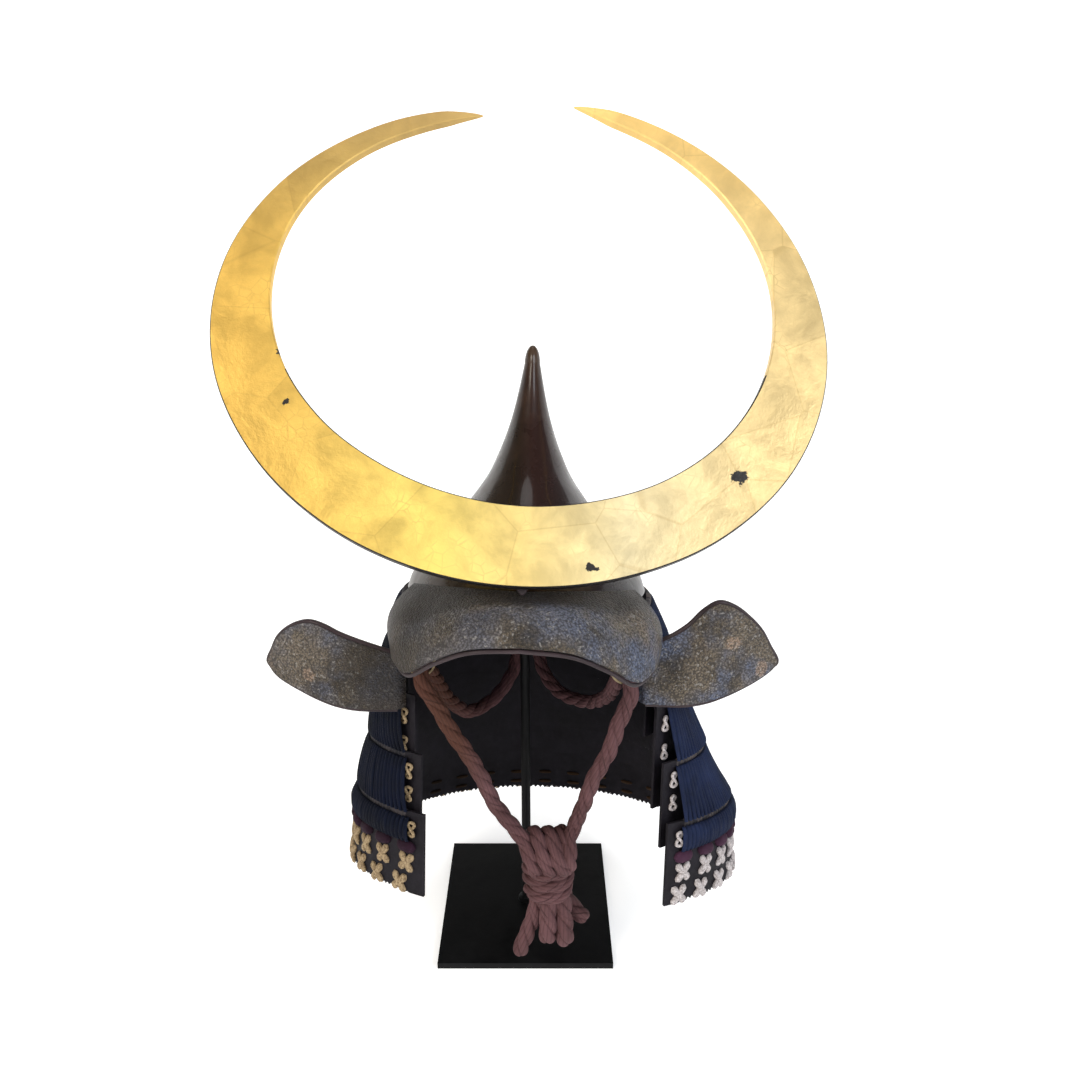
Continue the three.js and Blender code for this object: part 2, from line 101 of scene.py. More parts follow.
# The knot is rope too: folds over its top, a coil of wraps, and two bights and two ends below.
KNOT = {"x": 0.0189, "y": -0.08, "low": 0.0925, "high": 0.1275, "turns": 3.2, "radius": 0.0153}
KNOT_ROUTES = {
    "core": [(0.0189, -0.079, 0.078), (0.0189, -0.079, 0.1), (0.0189, -0.079, 0.137)],
    "fold_left": [
        (-0.0105, -0.0825, 0.157), (-0.006, -0.0825, 0.1495), (0.0002, -0.088, 0.1435),
        (0.0045, -0.0945, 0.1355), (0.0085, -0.095, 0.1255), (0.0105, -0.089, 0.115),
    ],
    "fold_second": [
        (0.0065, -0.069, 0.132), (0.0075, -0.0765, 0.1435), (0.0105, -0.087, 0.146),
        (0.015, -0.0965, 0.137), (0.0195, -0.0965, 0.1255), (0.0215, -0.089, 0.115),
    ],
    "fold_third": [
        (0.0175, -0.069, 0.132), (0.0185, -0.0765, 0.1435), (0.0215, -0.087, 0.146),
        (0.0255, -0.0965, 0.1365), (0.029, -0.0955, 0.1255), (0.03, -0.088, 0.115),
    ],
    "fold_right": [
        (0.0425, -0.0825, 0.163), (0.0395, -0.0825, 0.1545), (0.0355, -0.0875, 0.146),
        (0.0355, -0.0935, 0.1365), (0.0355, -0.0925, 0.1265), (0.034, -0.086, 0.115),
    ],
    "fold_flat": [
        (0.029, -0.069, 0.134), (0.029, -0.077, 0.1445), (0.031, -0.0865, 0.144),
        (0.033, -0.093, 0.134), (0.034, -0.091, 0.122),
    ],
    "bight_left": [
        (0.0185, -0.086, 0.094), (0.019, -0.0905, 0.076), (0.0188, -0.093, 0.06),
        (0.0186, -0.0895, 0.0515), (0.0186, -0.083, 0.0515), (0.0188, -0.079, 0.06),
        (0.019, -0.078, 0.078),
    ],
    "bight_right": [
        (0.0295, -0.083, 0.094), (0.0315, -0.087, 0.072), (0.0325, -0.09, 0.055),
        (0.0328, -0.0865, 0.0465), (0.0328, -0.08, 0.0465), (0.0322, -0.0755, 0.056),
        (0.0305, -0.0745, 0.076),
    ],
    "end_left": [
        (0.0115, -0.081, 0.09), (0.0085, -0.083, 0.07), (0.0035, -0.084, 0.0535),
        (-0.0015, -0.0845, 0.039), (-0.0055, -0.085, 0.0265),
    ],
    "end_right": [
        (0.031, -0.074, 0.084), (0.036, -0.0745, 0.073), (0.0415, -0.076, 0.0655),
        (0.0465, -0.0765, 0.0605), (0.0495, -0.0765, 0.0545),
    ],
}
# How much thicker the slack ends and bights are than the rope that hangs.
KNOT_FULLNESS = {"bight_left": 1.18, "bight_right": 1.25, "end_left": 1.1, "end_right": 1.15}

# ------------------------------------------------------------------ helmet shapes
# Where a part goes: its place, then how many degrees it leans back, turns and rolls.
HELMET = {"at": (0.002, 0, 0.325), "lean": 12, "yaw": -1.5, "roll": 1.2}

BOWL_WALL = 0.0025
BOWL_KEEL = 0.08
BOWL_PEAK = 0.188
BOWL_RIM_DROP = 0.0006  # the rim's rounded edge
BOWL_SIDES = 160
BOWL_RIDGE_ANGLE = 9  # degrees, so that the ridge stays crisp
# height, half width, half length
BOWL_ROWS = [
    (0, 0.094, 0.112), (0.01, 0.0905, 0.109), (0.022, 0.083, 0.102), (0.038, 0.07, 0.091),
    (0.055, 0.056, 0.077), (0.071, 0.044, 0.062), (0.087, 0.033, 0.047), (0.104, 0.025, 0.035),
    (0.121, 0.0185, 0.026), (0.138, 0.0135, 0.0185), (0.156, 0.0095, 0.0125),
    (0.174, 0.006, 0.0075),
]

VISOR = {
    "wall": 0.0025, "root_span": 60, "root_height": 0.015, "root_drop": 0.008,
    "bulge": 0.01, "sway": 0.0025, "skew": 0.01,
}
# The visor's front edge, from its middle to the end over the temple: share, side, reach, height
VISOR_EDGE_ROWS = [
    (0, 0, 0.161, -0.009), (0.25, 0.033, 0.156, -0.013), (0.45, 0.057, 0.144, -0.025),
    (0.62, 0.075, 0.128, -0.038), (0.8, 0.088, 0.105, -0.036), (1, 0.094, 0.078, -0.038),
]
VISOR_RIM_RADIUS = 0.0015

CREST_PEG = {"width": 0.009, "depth": 0.005, "height": 0.04, "below": 0.004}
CRESCENT = {
    "at": (0.002, -0.1318, 0.0238), "lean": 24, "yaw": 5, "roll": -1.2,
    "thickness": 0.007, "edge": 0.0008, "centre": 0.195,
}
CRESCENT_TIP = 9  # the last degrees of each arm, where it narrows to a point
# Radii of the crescent's two edges, by angle from the lowest point: angle, outer, inner
CRESCENT_ROWS = [
    (-172, 0.1775, 0.1715), (-155, 0.1855, 0.1725), (-140, 0.192, 0.1755), (-120, 0.2025, 0.178),
    (-100, 0.2105, 0.175), (-80, 0.2115, 0.167), (-60, 0.206, 0.1555), (-40, 0.1995, 0.145),
    (-20, 0.1955, 0.14), (0, 0.196, 0.1405), (20, 0.2015, 0.146), (40, 0.2115, 0.1575),
    (60, 0.2205, 0.1705), (80, 0.223, 0.1815), (100, 0.2185, 0.1875), (120, 0.2105, 0.1875),
    (140, 0.2015, 0.1855), (155, 0.1955, 0.184), (166, 0.192, 0.1865),
]

LAME_WALL = 0.0022
LAME_REAR_SPREAD = 0.003
LAME_COLUMNS = (
    "top", "bottom", "top_width", "bottom_width", "rear", "rise", "end_y", "left", "right", "sway",
)
LAME_ROWS = [
    (-0.003, -0.063, 0.0975, 0.103, 0.121, 0, -0.056, 0.082, 0.088, 0),
    (-0.043, -0.111, 0.11, 0.115, 0.129, 0.007, -0.055, 0.088, 0.092, 0.002),
    (-0.087, -0.169, 0.122, 0.127, 0.137, 0.012, -0.064, 0.084, 0.096, 0.005),
    (-0.134, -0.2, 0.135, 0.139, 0.145, 0.016, -0.072, 0.084, 0.096, 0.011),
    (-0.177, -0.242, 0.151, 0.159, 0.155, 0.016, -0.08, 0.087, 0.093, 0.018),
]
LAMES = [dict(zip(LAME_COLUMNS, row)) for row in LAME_ROWS]
LIP_STEPS = (0, 0.12, 0.3, 0.5, 0.7, 0.88, 1)  # where a lame's lip has rows of points
LIP_SWELL = 0.0016
SCALE_JAG = 0.0028
SCALE_HEAD = 0.0009
LACING = {
    "pitch": 0.0042, "depth": 0.0013, "lip": 0.006, "end_margin": 0.012, "last_bottom": -0.2,
    "lift": 0.0022, "swell": 0.0028,
}
# The knots up the front edges, with their heights on each lame.
EDGE_KNOT = {"half_wide": 0.0026, "half_high": 0.0052, "cord": 0.0012, "past_lacing": 0.004}
EDGE_KNOT_HEIGHTS = ((), (-0.064, -0.082), (-0.104, -0.126), (-0.148, -0.166), (-0.19,))
# The last lame's silk pads. A size is half length, half width and thickness.
TRIM = {"spacing": 0.0245, "reach": 0.955, "limit": 0.965, "tilt": 0.12}
STUD = {"height": -0.2045, "size": (0.0085, 0.0048, 0.0036)}
CROSS = {"heights": (-0.2175, -0.235), "size": (0.0092, 0.0041, 0.0021), "turn": 0.85, "waist": 0.42}
INNER_STITCH = {"heights": (-0.224, -0.234), "size": (0.0065, 0.0017, 0.0012)}

WING = {
    "wall": 0.003, "root_x": 0.094, "root_y": -0.069, "tip_y": -0.056, "hollow": 0.006,
    "fold": 0.007, "rim": 0.00216, "rim_margin": 0.00054, "fullness": 1.055,
}
WINGS = {
    "left": {
        "side": -1,
        "upper": [(0, -0.043), (0.035, -0.031), (0.061, -0.022), (0.083, -0.033), (0.094, -0.054)],
        "lower": [(0, -0.082), (0.035, -0.08), (0.068, -0.07), (0.087, -0.062), (0.094, -0.054)],
    },
    "right": {
        "side": 1,
        "upper": [(0, -0.032), (0.022, -0.019), (0.046, 0.001), (0.073, -0.015), (0.091, -0.043)],
        "lower": [(0, -0.072), (0.034, -0.069), (0.066, -0.058), (0.084, -0.049), (0.091, -0.043)],
    },
}

# Each side's cord ring hangs flat against the cheek, and the rear one stands across the cord.
RING = {"radius": 0.01, "wire": 0.0014}
RING_PLACES = {
    "cord_ring_left": {"at": (-0.075, -0.064, -0.0482), "axis": "Y"},
    "cord_ring_right": {"at": (0.0765, -0.064, -0.0494), "axis": "Y"},
    "cord_ring_rear": {"at": (-0.0014, 0.102, -0.009), "axis": "X"},
}

# The collar at the post's foot: radii of the post, and millimetres above the plate.
POST_FOOT = [(1.9, -0.3), (1.9, 1.2), (1.6, 1.9), (1.15, 2.6), (1, 4)]

# Worn places in the gold: across, height and radius on the crescent's board.
GOLD_CHIPS = [
    (0.045, 0.012, 0.006), (0.148, 0.075, 0.011), (-0.163, 0.165, 0.006), (-0.157, 0.128, 0.004),
]
# Tan ovals worn into the leather: place and half sizes.
VISOR_SPOTS = [
    ((-0.056, -0.145, 0.30), (0.009, 0.03, 0.012)), ((0.012, -0.17, 0.307), (0.009, 0.03, 0.006)),
    ((0.048, -0.16, 0.30), (0.009, 0.03, 0.007)), ((0.083, -0.13, 0.287), (0.005, 0.03, 0.009)),
]
WING_SPOTS = {
    "left": [((-0.157, -0.06, 0.285), (0.006, 0.03, 0.006))],
    "right": [
        ((0.152, -0.06, 0.312), (0.008, 0.03, 0.007)), ((0.175, -0.06, 0.29), (0.006, 0.03, 0.008)),
    ],
}


# ------------------------------------------------------------------ numbers and curves
def lerp(a, b, share):
    return a + (b - a) * share


def clamp(value, low=0.0, high=1.0):
    return max(low, min(high, value))


def evenly(count):
    return [i / count for i in range(count + 1)]


def full_turn(count):
    """Angles at even steps once round."""
    return [2 * math.pi * i / count for i in range(count)]


def read_rows(rows, column, value):
    """Reads a smooth curve through the rows of a table, by the value of their first column."""
    last = len(rows) - 1
    after = int(clamp(bisect_left([row[0] for row in rows], value), 1, last))

    def row(index):
        return rows[int(clamp(index, 0, last))]

    spread = row(after)[0] - row(after - 1)[0]
    share = (value - row(after - 1)[0]) / spread

    def slope(index):
        rise = row(index + 1)[column] - row(index - 1)[column]
        return rise / (row(index + 1)[0] - row(index - 1)[0]) * spread

    square = share * share
    cube = square * share
    return ((2 * cube - 3 * square + 1) * row(after - 1)[column]
            + (cube - 2 * square + share) * slope(after - 1)
            + (3 * square - 2 * cube) * row(after)[column]
            + (cube - square) * slope(after))


def smooth_route(points, steps=16):
    """Points along the centripetal curve through given points."""
    points = [Vector(point) for point in points]
    padded = [2 * points[0] - points[1], *points, 2 * points[-1] - points[-2]]
    route = [points[0]]
    for quad in zip(padded, padded[1:], padded[2:], padded[3:]):
        knots = [0.0]
        for start, end in zip(quad, quad[1:]):
            knots.append(knots[-1] + (end - start).length ** 0.5)
        for step in range(1, steps + 1):
            route.append(curve_point(quad, knots, lerp(knots[1], knots[2], step / steps)))
    return route


def mix_neighbours(points, lows, highs, at):
    """Mixes each point with the next, by where at lies between their two knots."""
    return [a.lerp(b, (at - low) / (high - low)) for a, b, low, high in zip(points, points[1:], lows, highs)]


def curve_point(points, knots, at):
    """One point of a centripetal curve, by mixing its four points three times."""
    level = mix_neighbours(points, knots, knots[1:], at)
    level = mix_neighbours(level, knots, knots[2:], at)
    return mix_neighbours(level, knots[1:], knots[2:], at)[0]


def route_length(route):
    return sum((b - a).length for a, b in zip(route, route[1:]))


def even_route(points, step):
    """The smooth curve through points, at even steps along its length."""
    dense = smooth_route(points)
    count = max(2, round(route_length(dense) / step))
    spacing = route_length(dense) / count
    route = [dense[0]]
    travelled = 0.0
    for start, end in zip(dense, dense[1:]):
        piece = (end - start).length
        while travelled + piece >= spacing * len(route) - 1e-9 and len(route) < count:
            route.append(start.lerp(end, (spacing * len(route) - travelled) / piece))
        travelled += piece
    route.append(dense[-1])
    return route


def route_frames(route, closed=False):
    """A side and an up vector at each point of a route, carried along it without twisting."""
    count = len(route)
    frames = []
    up = None
    for i, point in enumerate(route):
        before = route[i - 1] if i or closed else point
        after = route[(i + 1) % count] if i < count - 1 or closed else point
        ahead = (after - before).normalized()
        if up is None:
            up = ahead.orthogonal().normalized()
        up = (up - ahead * up.dot(ahead)).normalized()
        frames.append((ahead.cross(up), up))
    return frames


# ------------------------------------------------------------------ mesh building
class Solid:
    """Points, faces and measures gathered from several closed forms into one mesh."""

    def __init__(self):
        self.points = []
        self.faces = []
        self.uvs = []

    def add_grid(self, rows, uvs, wrap_rows=False, wrap_columns=False, caps=False):
        """Joins a grid of points, given as a list of rows, into faces."""
        start = len(self.points)
        width = len(rows[0])
        for row, measures in zip(rows, uvs):
            self.points.extend(row)
            self.uvs.extend(measures)
        row_steps = len(rows) if wrap_rows else len(rows) - 1
        column_steps = width if wrap_columns else width - 1
        for i in range(row_steps):
            low = start + i * width
            high = start + ((i + 1) % len(rows)) * width
            for j in range(column_steps):
                k = (j + 1) % width
                self.faces.append((low + j, low + k, high + k, high + j))
        if caps:
            self.faces.append(tuple(start + j for j in reversed(range(width))))
            self.faces.append(tuple(start + (len(rows) - 1) * width + j for j in range(width)))

    def piece(self, name, material, slot, nodes=(), smooth_angle=40):
        """Makes a mesh piece that rides on the helmet and is shown in place of the CAD nodes."""
        mesh = bpy.data.meshes.new(name)
        mesh.from_pydata([tuple(point) for point in self.points], [], self.faces)
        layer = mesh.uv_layers.new(name="measure")
        for loop in mesh.loops:
            layer.data[loop.index].uv = self.uvs[loop.vertex_index]
        mesh.shade_smooth()
        mesh.set_sharp_from_angle(angle=math.radians(smooth_angle))
        mesh.materials.append(material)
        piece = bpy.data.objects.new(name, mesh)
        bpy.context.scene.collection.objects.link(piece)
        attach(piece, BODY)
        if nodes:
            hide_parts(*nodes)
        return piece


def surface_normal(place, u, v):
    step = 1e-4
    along_u = place(min(u + step, 1), v) - place(max(u - step, 0), v)
    along_v = place(u, min(v + step, 1)) - place(u, max(v - step, 0))
    return along_u.cross(along_v).normalized()


def add_shell(solid, place, us, vs, near, far, measure=(1, 1)):
    """A closed wall between two offsets of place(u, v); each offset is a function of (u, v).

    Each column of the wall is one ring of points: down its near side and up its far side.
    """
    rows = []
    uvs = []
    for u in us:
        normals = [surface_normal(place, u, v) for v in vs]
        spots = [place(u, v) for v in vs]
        near_side = [spot + n * near(u, v) for spot, n, v in zip(spots, normals, vs)]
        far_side = [spot + n * far(u, v) for spot, n, v in zip(spots, normals, vs)]
        rows.append(near_side + far_side[::-1])
        marks = [(u * measure[0], v * measure[1]) for v in vs]
        uvs.append(marks + marks[::-1])
    solid.add_grid(rows, uvs, wrap_columns=True, caps=True)


def constant(value):
    return lambda u, v: value


def add_tube(solid, route, section, twist=0.0, closed=False, taper=None):
    """Sweeps a section, a list of (across, up) pairs, along a route; taper scales it by share."""
    frames = route_frames(route, closed)
    rows = []
    uvs = []
    travelled = 0.0
    for i, (point, (side, up)) in enumerate(zip(route, frames)):
        if i:
            travelled += (point - route[i - 1]).length
        turn = twist * travelled
        scale = taper(i / (len(route) - 1)) if taper else 1.0
        row = []
        for across, high in section:
            x = across * math.cos(turn) - high * math.sin(turn)
            y = across * math.sin(turn) + high * math.cos(turn)
            row.append(point + (side * x + up * y) * scale)
        rows.append(row)
        uvs.append([(j / len(section), travelled) for j in range(len(section))])
    solid.add_grid(rows, uvs, wrap_rows=closed, wrap_columns=True, caps=not closed)


def round_section(radius, sides=12):
    return [(radius * math.cos(turn), radius * math.sin(turn)) for turn in full_turn(sides)]


def rope_section(radius, sides=36, strands=3, groove=0.3):
    """A rope's outline: round strands with a groove between each two."""
    section = []
    for turn in full_turn(sides):
        crown = abs(math.cos(strands * turn / 2)) ** 0.6
        reach = radius * (1 - groove + groove * crown)
        section.append((reach * math.cos(turn), reach * math.sin(turn)))
    return section


def rounded_ends(length, radius):
    """A taper that rounds off both ends of a rope over about one radius."""
    def taper(share):
        edge = min(share, 1 - share) * length / radius
        return math.sqrt(max(0.02, 1 - (1 - clamp(edge)) ** 2))
    return taper


def add_revolved(solid, profile, centre, sides=48, caps=True):
    """Turns a profile of (radius, height) pairs about an upright line."""
    rows = []
    uvs = []
    turns = full_turn(sides)
    for radius, height in profile:
        rows.append([centre + Vector((radius * math.cos(t), radius * math.sin(t), height)) for t in turns])
        uvs.append([(t * radius, height) for t in turns])
    solid.add_grid(rows, uvs, wrap_columns=True, caps=caps)


# ------------------------------------------------------------------ shader building
class Shader:
    """A procedural material being built around one Principled BSDF."""

    def __init__(self, name, **constants):
        self.material = bpy.data.materials.new(name)
        self.material.use_nodes = True
        self.tree = self.material.node_tree
        self.surface = self.tree.nodes["Principled BSDF"]
        for socket, value in constants.items():
            self.surface.inputs[socket.replace("_", " ")].default_value = value

    def add(self, kind, inputs, **settings):
        node = self.tree.nodes.new(kind)
        for key, value in settings.items():
            setattr(node, key, value)
        for key, value in inputs.items():
            if isinstance(value, bpy.types.NodeSocket):
                self.tree.links.new(value, node.inputs[key])
            else:
                node.inputs[key].default_value = value
        return node

    def place(self):
        return self.add("ShaderNodeTexCoord", {}).outputs["Object"]

    def measure(self):
        return self.add("ShaderNodeUVMap", {}, uv_map="measure").outputs["UV"]

    def axes(self, vector):
        return self.add("ShaderNodeSeparateXYZ", {"Vector": vector}).outputs

    def noise(self, scale, detail=3.0, roughness=0.55, vector=None, distortion=0.0):
        inputs = {
            "Vector": vector or self.place(), "Scale": scale, "Detail": detail,
            "Roughness": roughness, "Distortion": distortion,
        }
        return self.add("ShaderNodeTexNoise", inputs).outputs["Fac"]

    def cells(self, scale, feature="F1", vector=None, output="Distance", randomness=1.0):
        inputs = {"Vector": vector or self.place(), "Scale": scale, "Randomness": randomness}
        return self.add("ShaderNodeTexVoronoi", inputs, feature=feature).outputs[output]

    def math(self, operation, a, b=0.0):
        return self.add("ShaderNodeMath", {0: a, 1: b}, operation=operation).outputs[0]

    def span(self, value, low, high, to_low=0.0, to_high=1.0):
        """Maps low..high smoothly to to_low..to_high, and stays inside them."""
        inputs = {"Value": value, "From Min": low, "From Max": high, "To Min": to_low, "To Max": to_high}
        node = self.add("ShaderNodeMapRange", inputs, interpolation_type="SMOOTHSTEP")
        return node.outputs["Result"]

    def ramp(self, value, *stops):
        """A colour ramp through (place, colour) stops."""
        node = self.add("ShaderNodeValToRGB", {"Fac": value})
        elements = node.color_ramp.elements
        while len(elements) < len(stops):
            elements.new(0.5)
        for element, (at, colour) in zip(elements, stops):
            element.position = at
            element.color = (*colour, 1)
        return node.outputs["Color"]

    def mix(self, share, a, b, blend="MIX"):
        a = (*a, 1) if isinstance(a, tuple) else a
        b = (*b, 1) if isinstance(b, tuple) else b
        node = self.add("ShaderNodeMix", {}, data_type="RGBA", blend_type=blend)
        for index, value in ((0, share), (6, a), (7, b)):
            if isinstance(value, bpy.types.NodeSocket):
                self.tree.links.new(value, node.inputs[index])
            else:
                node.inputs[index].default_value = value
        return node.outputs[2]

    def send(self, socket, value):
        self.tree.links.new(value, self.surface.inputs[socket])

    def bump(self, *layers):
        """Stacks (height, distance) layers of bump onto the surface."""
        normal = None
        for height, distance in layers:
            inputs = {"Height": height, "Distance": distance, "Strength": 1.0}
            if normal is not None:
                inputs["Normal"] = normal
            normal = self.add("ShaderNodeBump", inputs).outputs["Normal"]
        self.send("Normal", normal)


# ------------------------------------------------------------------ materials
def gold_leaf():
    """Gold leaf laid in squares over black lacquer, with painted light: orange at the left, paler at the
    right, and painted shade on the upper arms, the left one most.
    """
    shader = Shader("gold_leaf")
    board = shader.measure()
    across, high, _ = shader.axes(board)
    rightward = shader.span(across, -0.2, 0.2)
    # painted light: the base colour runs from deep orange at the left to pale gold at the right
    tone = shader.ramp(
        rightward,
        (0.0, (0.74, 0.46, 0.095)), (0.3, (0.98, 0.74, 0.19)), (0.5, (0.95, 0.72, 0.27)),
        (0.75, (0.86, 0.72, 0.42)), (1.0, (0.82, 0.61, 0.28)),
    )
    # painted shade: the upper arms are darkened, the left arm most
    arm_painted_shade = shader.ramp(rightward, (0.3, (0.42, 0.27, 0.085)), (0.7, (0.8, 0.53, 0.17)))
    tone = shader.mix(shader.span(high, 0.2, 0.38), tone, arm_painted_shade)
    squares = shader.cells(15, vector=board, output="Color", randomness=0.6)
    square_tone = shader.span(shader.axes(squares)[0], 0.0, 1.0, 0.94, 1.05)
    tone = shader.mix(1.0, tone, square_tone, "MULTIPLY")
    clouds = shader.noise(30, 6, 0.65, board, 0.4)
    tone = shader.mix(1.0, tone, shader.span(clouds, 0.3, 0.7, 0.86, 1.1), "MULTIPLY")
    laps = shader.cells(15, "DISTANCE_TO_EDGE", board, "Distance", 0.6)
    tone = shader.mix(shader.span(laps, 0.012, 0.0, 0.0, 0.22), tone, (0.42, 0.25, 0.06))
    crackle = shader.cells(120, "DISTANCE_TO_EDGE", board)
    worn = shader.math("MULTIPLY", shader.span(crackle, 0.07, 0.0), shader.span(clouds, 0.5, 0.68))
    tone = shader.mix(shader.math("MULTIPLY", worn, 0.3), tone, (0.3, 0.17, 0.05))

    chips = None
    ragged = shader.math("MULTIPLY", shader.math("SUBTRACT", shader.noise(220, 3, 0.6, board), 0.5), 0.016)
    for x, z, radius in GOLD_CHIPS:
        away = shader.add("ShaderNodeVectorMath", {0: board, 1: (x, z, 0)}, operation="DISTANCE")
        near = shader.math("ADD", away.outputs["Value"], ragged)
        chip = shader.span(near, radius * 0.55, radius * 0.4)
        chips = chip if chips is None else shader.math("MAXIMUM", chips, chip)
    shader.send("Base Color", shader.mix(chips, tone, (0.012, 0.01, 0.009)))
    shader.send("Metallic", shader.span(chips, 0.0, 1.0, 0.55, 0.0))
    shader.send("Roughness", shader.span(clouds, 0.3, 0.75, 0.36, 0.52))
    fine = shader.noise(260, 5, 0.6, board)
    shader.bump((clouds, 0.0008), (laps, 0.0001), (fine, 0.00015))
    return shader.material


def black_lacquer(name, colour, roughness, coat=0.1):
    """Brushed-on lacquer with faint waviness, dust and worn patches."""
    shader = Shader(name, Coat_Weight=coat, Coat_Roughness=0.12, Specular_IOR_Level=0.12)
    clouds = shader.noise(24, 6, 0.65)
    lighter = tuple(min(1, channel * 2.1 + 0.004) for channel in colour)
    shader.send("Base Color", shader.ramp(clouds, (0.35, colour), (0.72, lighter)))
    shader.send("Roughness", shader.span(clouds, 0.3, 0.75, roughness, roughness + 0.2))
    shader.bump((shader.noise(60, 3), 0.0005), (shader.noise(500, 2), 0.00005))
    return shader.material


def bowl_lacquer():
    """Deep maroon-brown lacquer, glossy, with a painted warm reflection on the left flank and a painted
    bluish reflection on the right.
    """
    shader = Shader("bowl_lacquer", Coat_Weight=0.28, Coat_Roughness=0.06, Specular_IOR_Level=0.12)
    x, _, z = shader.axes(shader.place())
    # painted reflection: warm olive-brown at the left flank, bluish at the right
    painted_reflection_side = shader.span(x, -0.09, 0.09)
    tone = shader.ramp(
        painted_reflection_side, (0.0, (0.03, 0.02, 0.01)), (0.46, (0.012, 0.007, 0.004)),
        (0.56, (0.02, 0.008, 0.006)), (1.0, (0.012, 0.01, 0.012)),
    )
    clouds = shader.noise(18, 6, 0.7)
    tone = shader.mix(shader.span(clouds, 0.5, 0.8, 0.0, 0.5), tone, (0.05, 0.024, 0.014))
    top = shader.span(z, 0.48, 0.52)
    shader.send("Base Color", shader.mix(shader.math("MULTIPLY", top, 0.5), tone, (0.09, 0.06, 0.035)))
    shader.send("Roughness", shader.span(clouds, 0.3, 0.8, 0.2, 0.42))
    shader.bump((shader.noise(35, 2), 0.0008), (shader.noise(600, 2), 0.00004))
    return shader.material


def grained_leather(name, blue_at, spots, shaded=None):
    """Pebbled lacquered leather: grey-brown, bluer in drifts, with worn tan spots.

    blue_at is how far right the blue starts; spots are (place, half sizes) of the tan ovals.
    shaded(shader) gives how much painted shade darkens the leather, from 0 to 1.
    """
    shader = Shader(name, Specular_IOR_Level=0.25)
    place = shader.place()
    rightward = shader.span(shader.axes(place)[0], blue_at - 0.1, blue_at + 0.1, 0.35, 1)
    drift = shader.noise(20, 5, 0.6)
    blue = shader.math("MULTIPLY", shader.span(drift, 0.42, 0.6), rightward)
    warm = shader.ramp(shader.noise(34, 4, 0.6), (0.36, (0.05, 0.038, 0.026)), (0.62, (0.15, 0.12, 0.088)))
    tone = shader.mix(blue, warm, (0.105, 0.125, 0.19))
    lower = shader.noise(15, 3, 0.5, distortion=0.5)
    tone = shader.mix(shader.span(lower, 0.55, 0.7, 0, 0.5), tone, (0.24, 0.18, 0.13))
    ragged = shader.math("MULTIPLY", shader.math("SUBTRACT", shader.noise(90, 3), 0.5), 0.8)
    for centre, half in spots:
        shift = shader.add("ShaderNodeVectorMath", {0: place, 1: centre}, operation="SUBTRACT").outputs[0]
        scaled = shader.add("ShaderNodeVectorMath", {0: shift, 1: half}, operation="DIVIDE").outputs[0]
        away = shader.add("ShaderNodeVectorMath", {0: scaled}, operation="LENGTH").outputs["Value"]
        inside = shader.span(shader.math("ADD", away, ragged), 1.1, 0.8, 0, 0.75)
        tone = shader.mix(inside, tone, (0.3, 0.21, 0.15))
    pebbles = shader.cells(620)
    pits = shader.span(pebbles, 0.25, 0.75)
    tone = shader.mix(shader.math("MULTIPLY", pits, 0.75), tone, (0.012, 0.011, 0.011))
    bright = shader.noise(420, 2, 0.5)
    tone = shader.mix(shader.span(bright, 0.58, 0.72, 0, 0.4), tone, (0.42, 0.4, 0.38))
    # painted shade: the leather is darkened as much as shaded(shader) gives
    if shaded:
        tone = shader.mix(shaded(shader), tone, (0.012, 0.0085, 0.0055))
    shader.send("Base Color", tone)
    shader.send("Roughness", shader.span(drift, 0.3, 0.7, 0.42, 0.62))
    shader.bump((shader.noise(70, 3), 0.0008), (shader.span(pebbles, 0.7, 0.1), 0.0007))
    return shader.material


def visor_painted_shadow(shader):
    """How much painted shadow darkens the visor: most along its root, under the crescent, and towards its
    left end.
    """
    across, out, _ = shader.axes(shader.measure())
    left = shader.span(across, 0.5, 0.05)
    edge = shader.math("ADD", shader.math("MULTIPLY", left, 0.3), 0.3)
    band = shader.span(shader.math("SUBTRACT", out, edge), 0.08, -0.1)
    return shader.math("MAXIMUM", shader.math("MULTIPLY", band, 0.85), shader.math("MULTIPLY", left, 0.7))


def left_wing_painted_shade(shader):
    """How much painted shade darkens the left wing: most towards its root."""
    return shader.span(shader.axes(shader.place())[0], -0.15, -0.105, 0.0, 0.8)


def silk(name, dark, light, chevrons=900.0):
    """Flat-plaited silk: slanting stitches across each strand, faded in patches, with painted shade
    darkening it towards the left.
    """
    shader = Shader(name, Specular_IOR_Level=0.1)
    across, along, _ = shader.axes(shader.measure())
    zigzag = shader.math("ABSOLUTE", shader.math("SUBTRACT", across, 0.5))
    slant = shader.math("MULTIPLY", zigzag, 6.0)
    slope = shader.math("ADD", shader.math("MULTIPLY", along, chevrons), slant)
    stitch = shader.math("FRACT", slope)
    thread = shader.math("ABSOLUTE", shader.math("SUBTRACT", stitch, 0.5))
    faded = shader.noise(26, 5, 0.65)
    tone = shader.ramp(faded, (0.35, dark), (0.7, light))
    x = shader.axes(shader.place())[0]
    # painted shade: the colour is darkened towards the left
    tone = shader.mix(1.0, tone, shader.span(x, -0.1, 0.04, 0.3, 1.0), "MULTIPLY")
    tone = shader.mix(shader.span(thread, 0.3, 0.5, 0, 0.55), tone, tuple(c * 0.25 for c in dark))
    shader.send("Base Color", tone)
    shader.send("Roughness", shader.span(faded, 0.3, 0.7, 0.7, 0.9))
    shader.bump((thread, 0.0006), (shader.noise(1500, 2), 0.0001))
    return shader.material


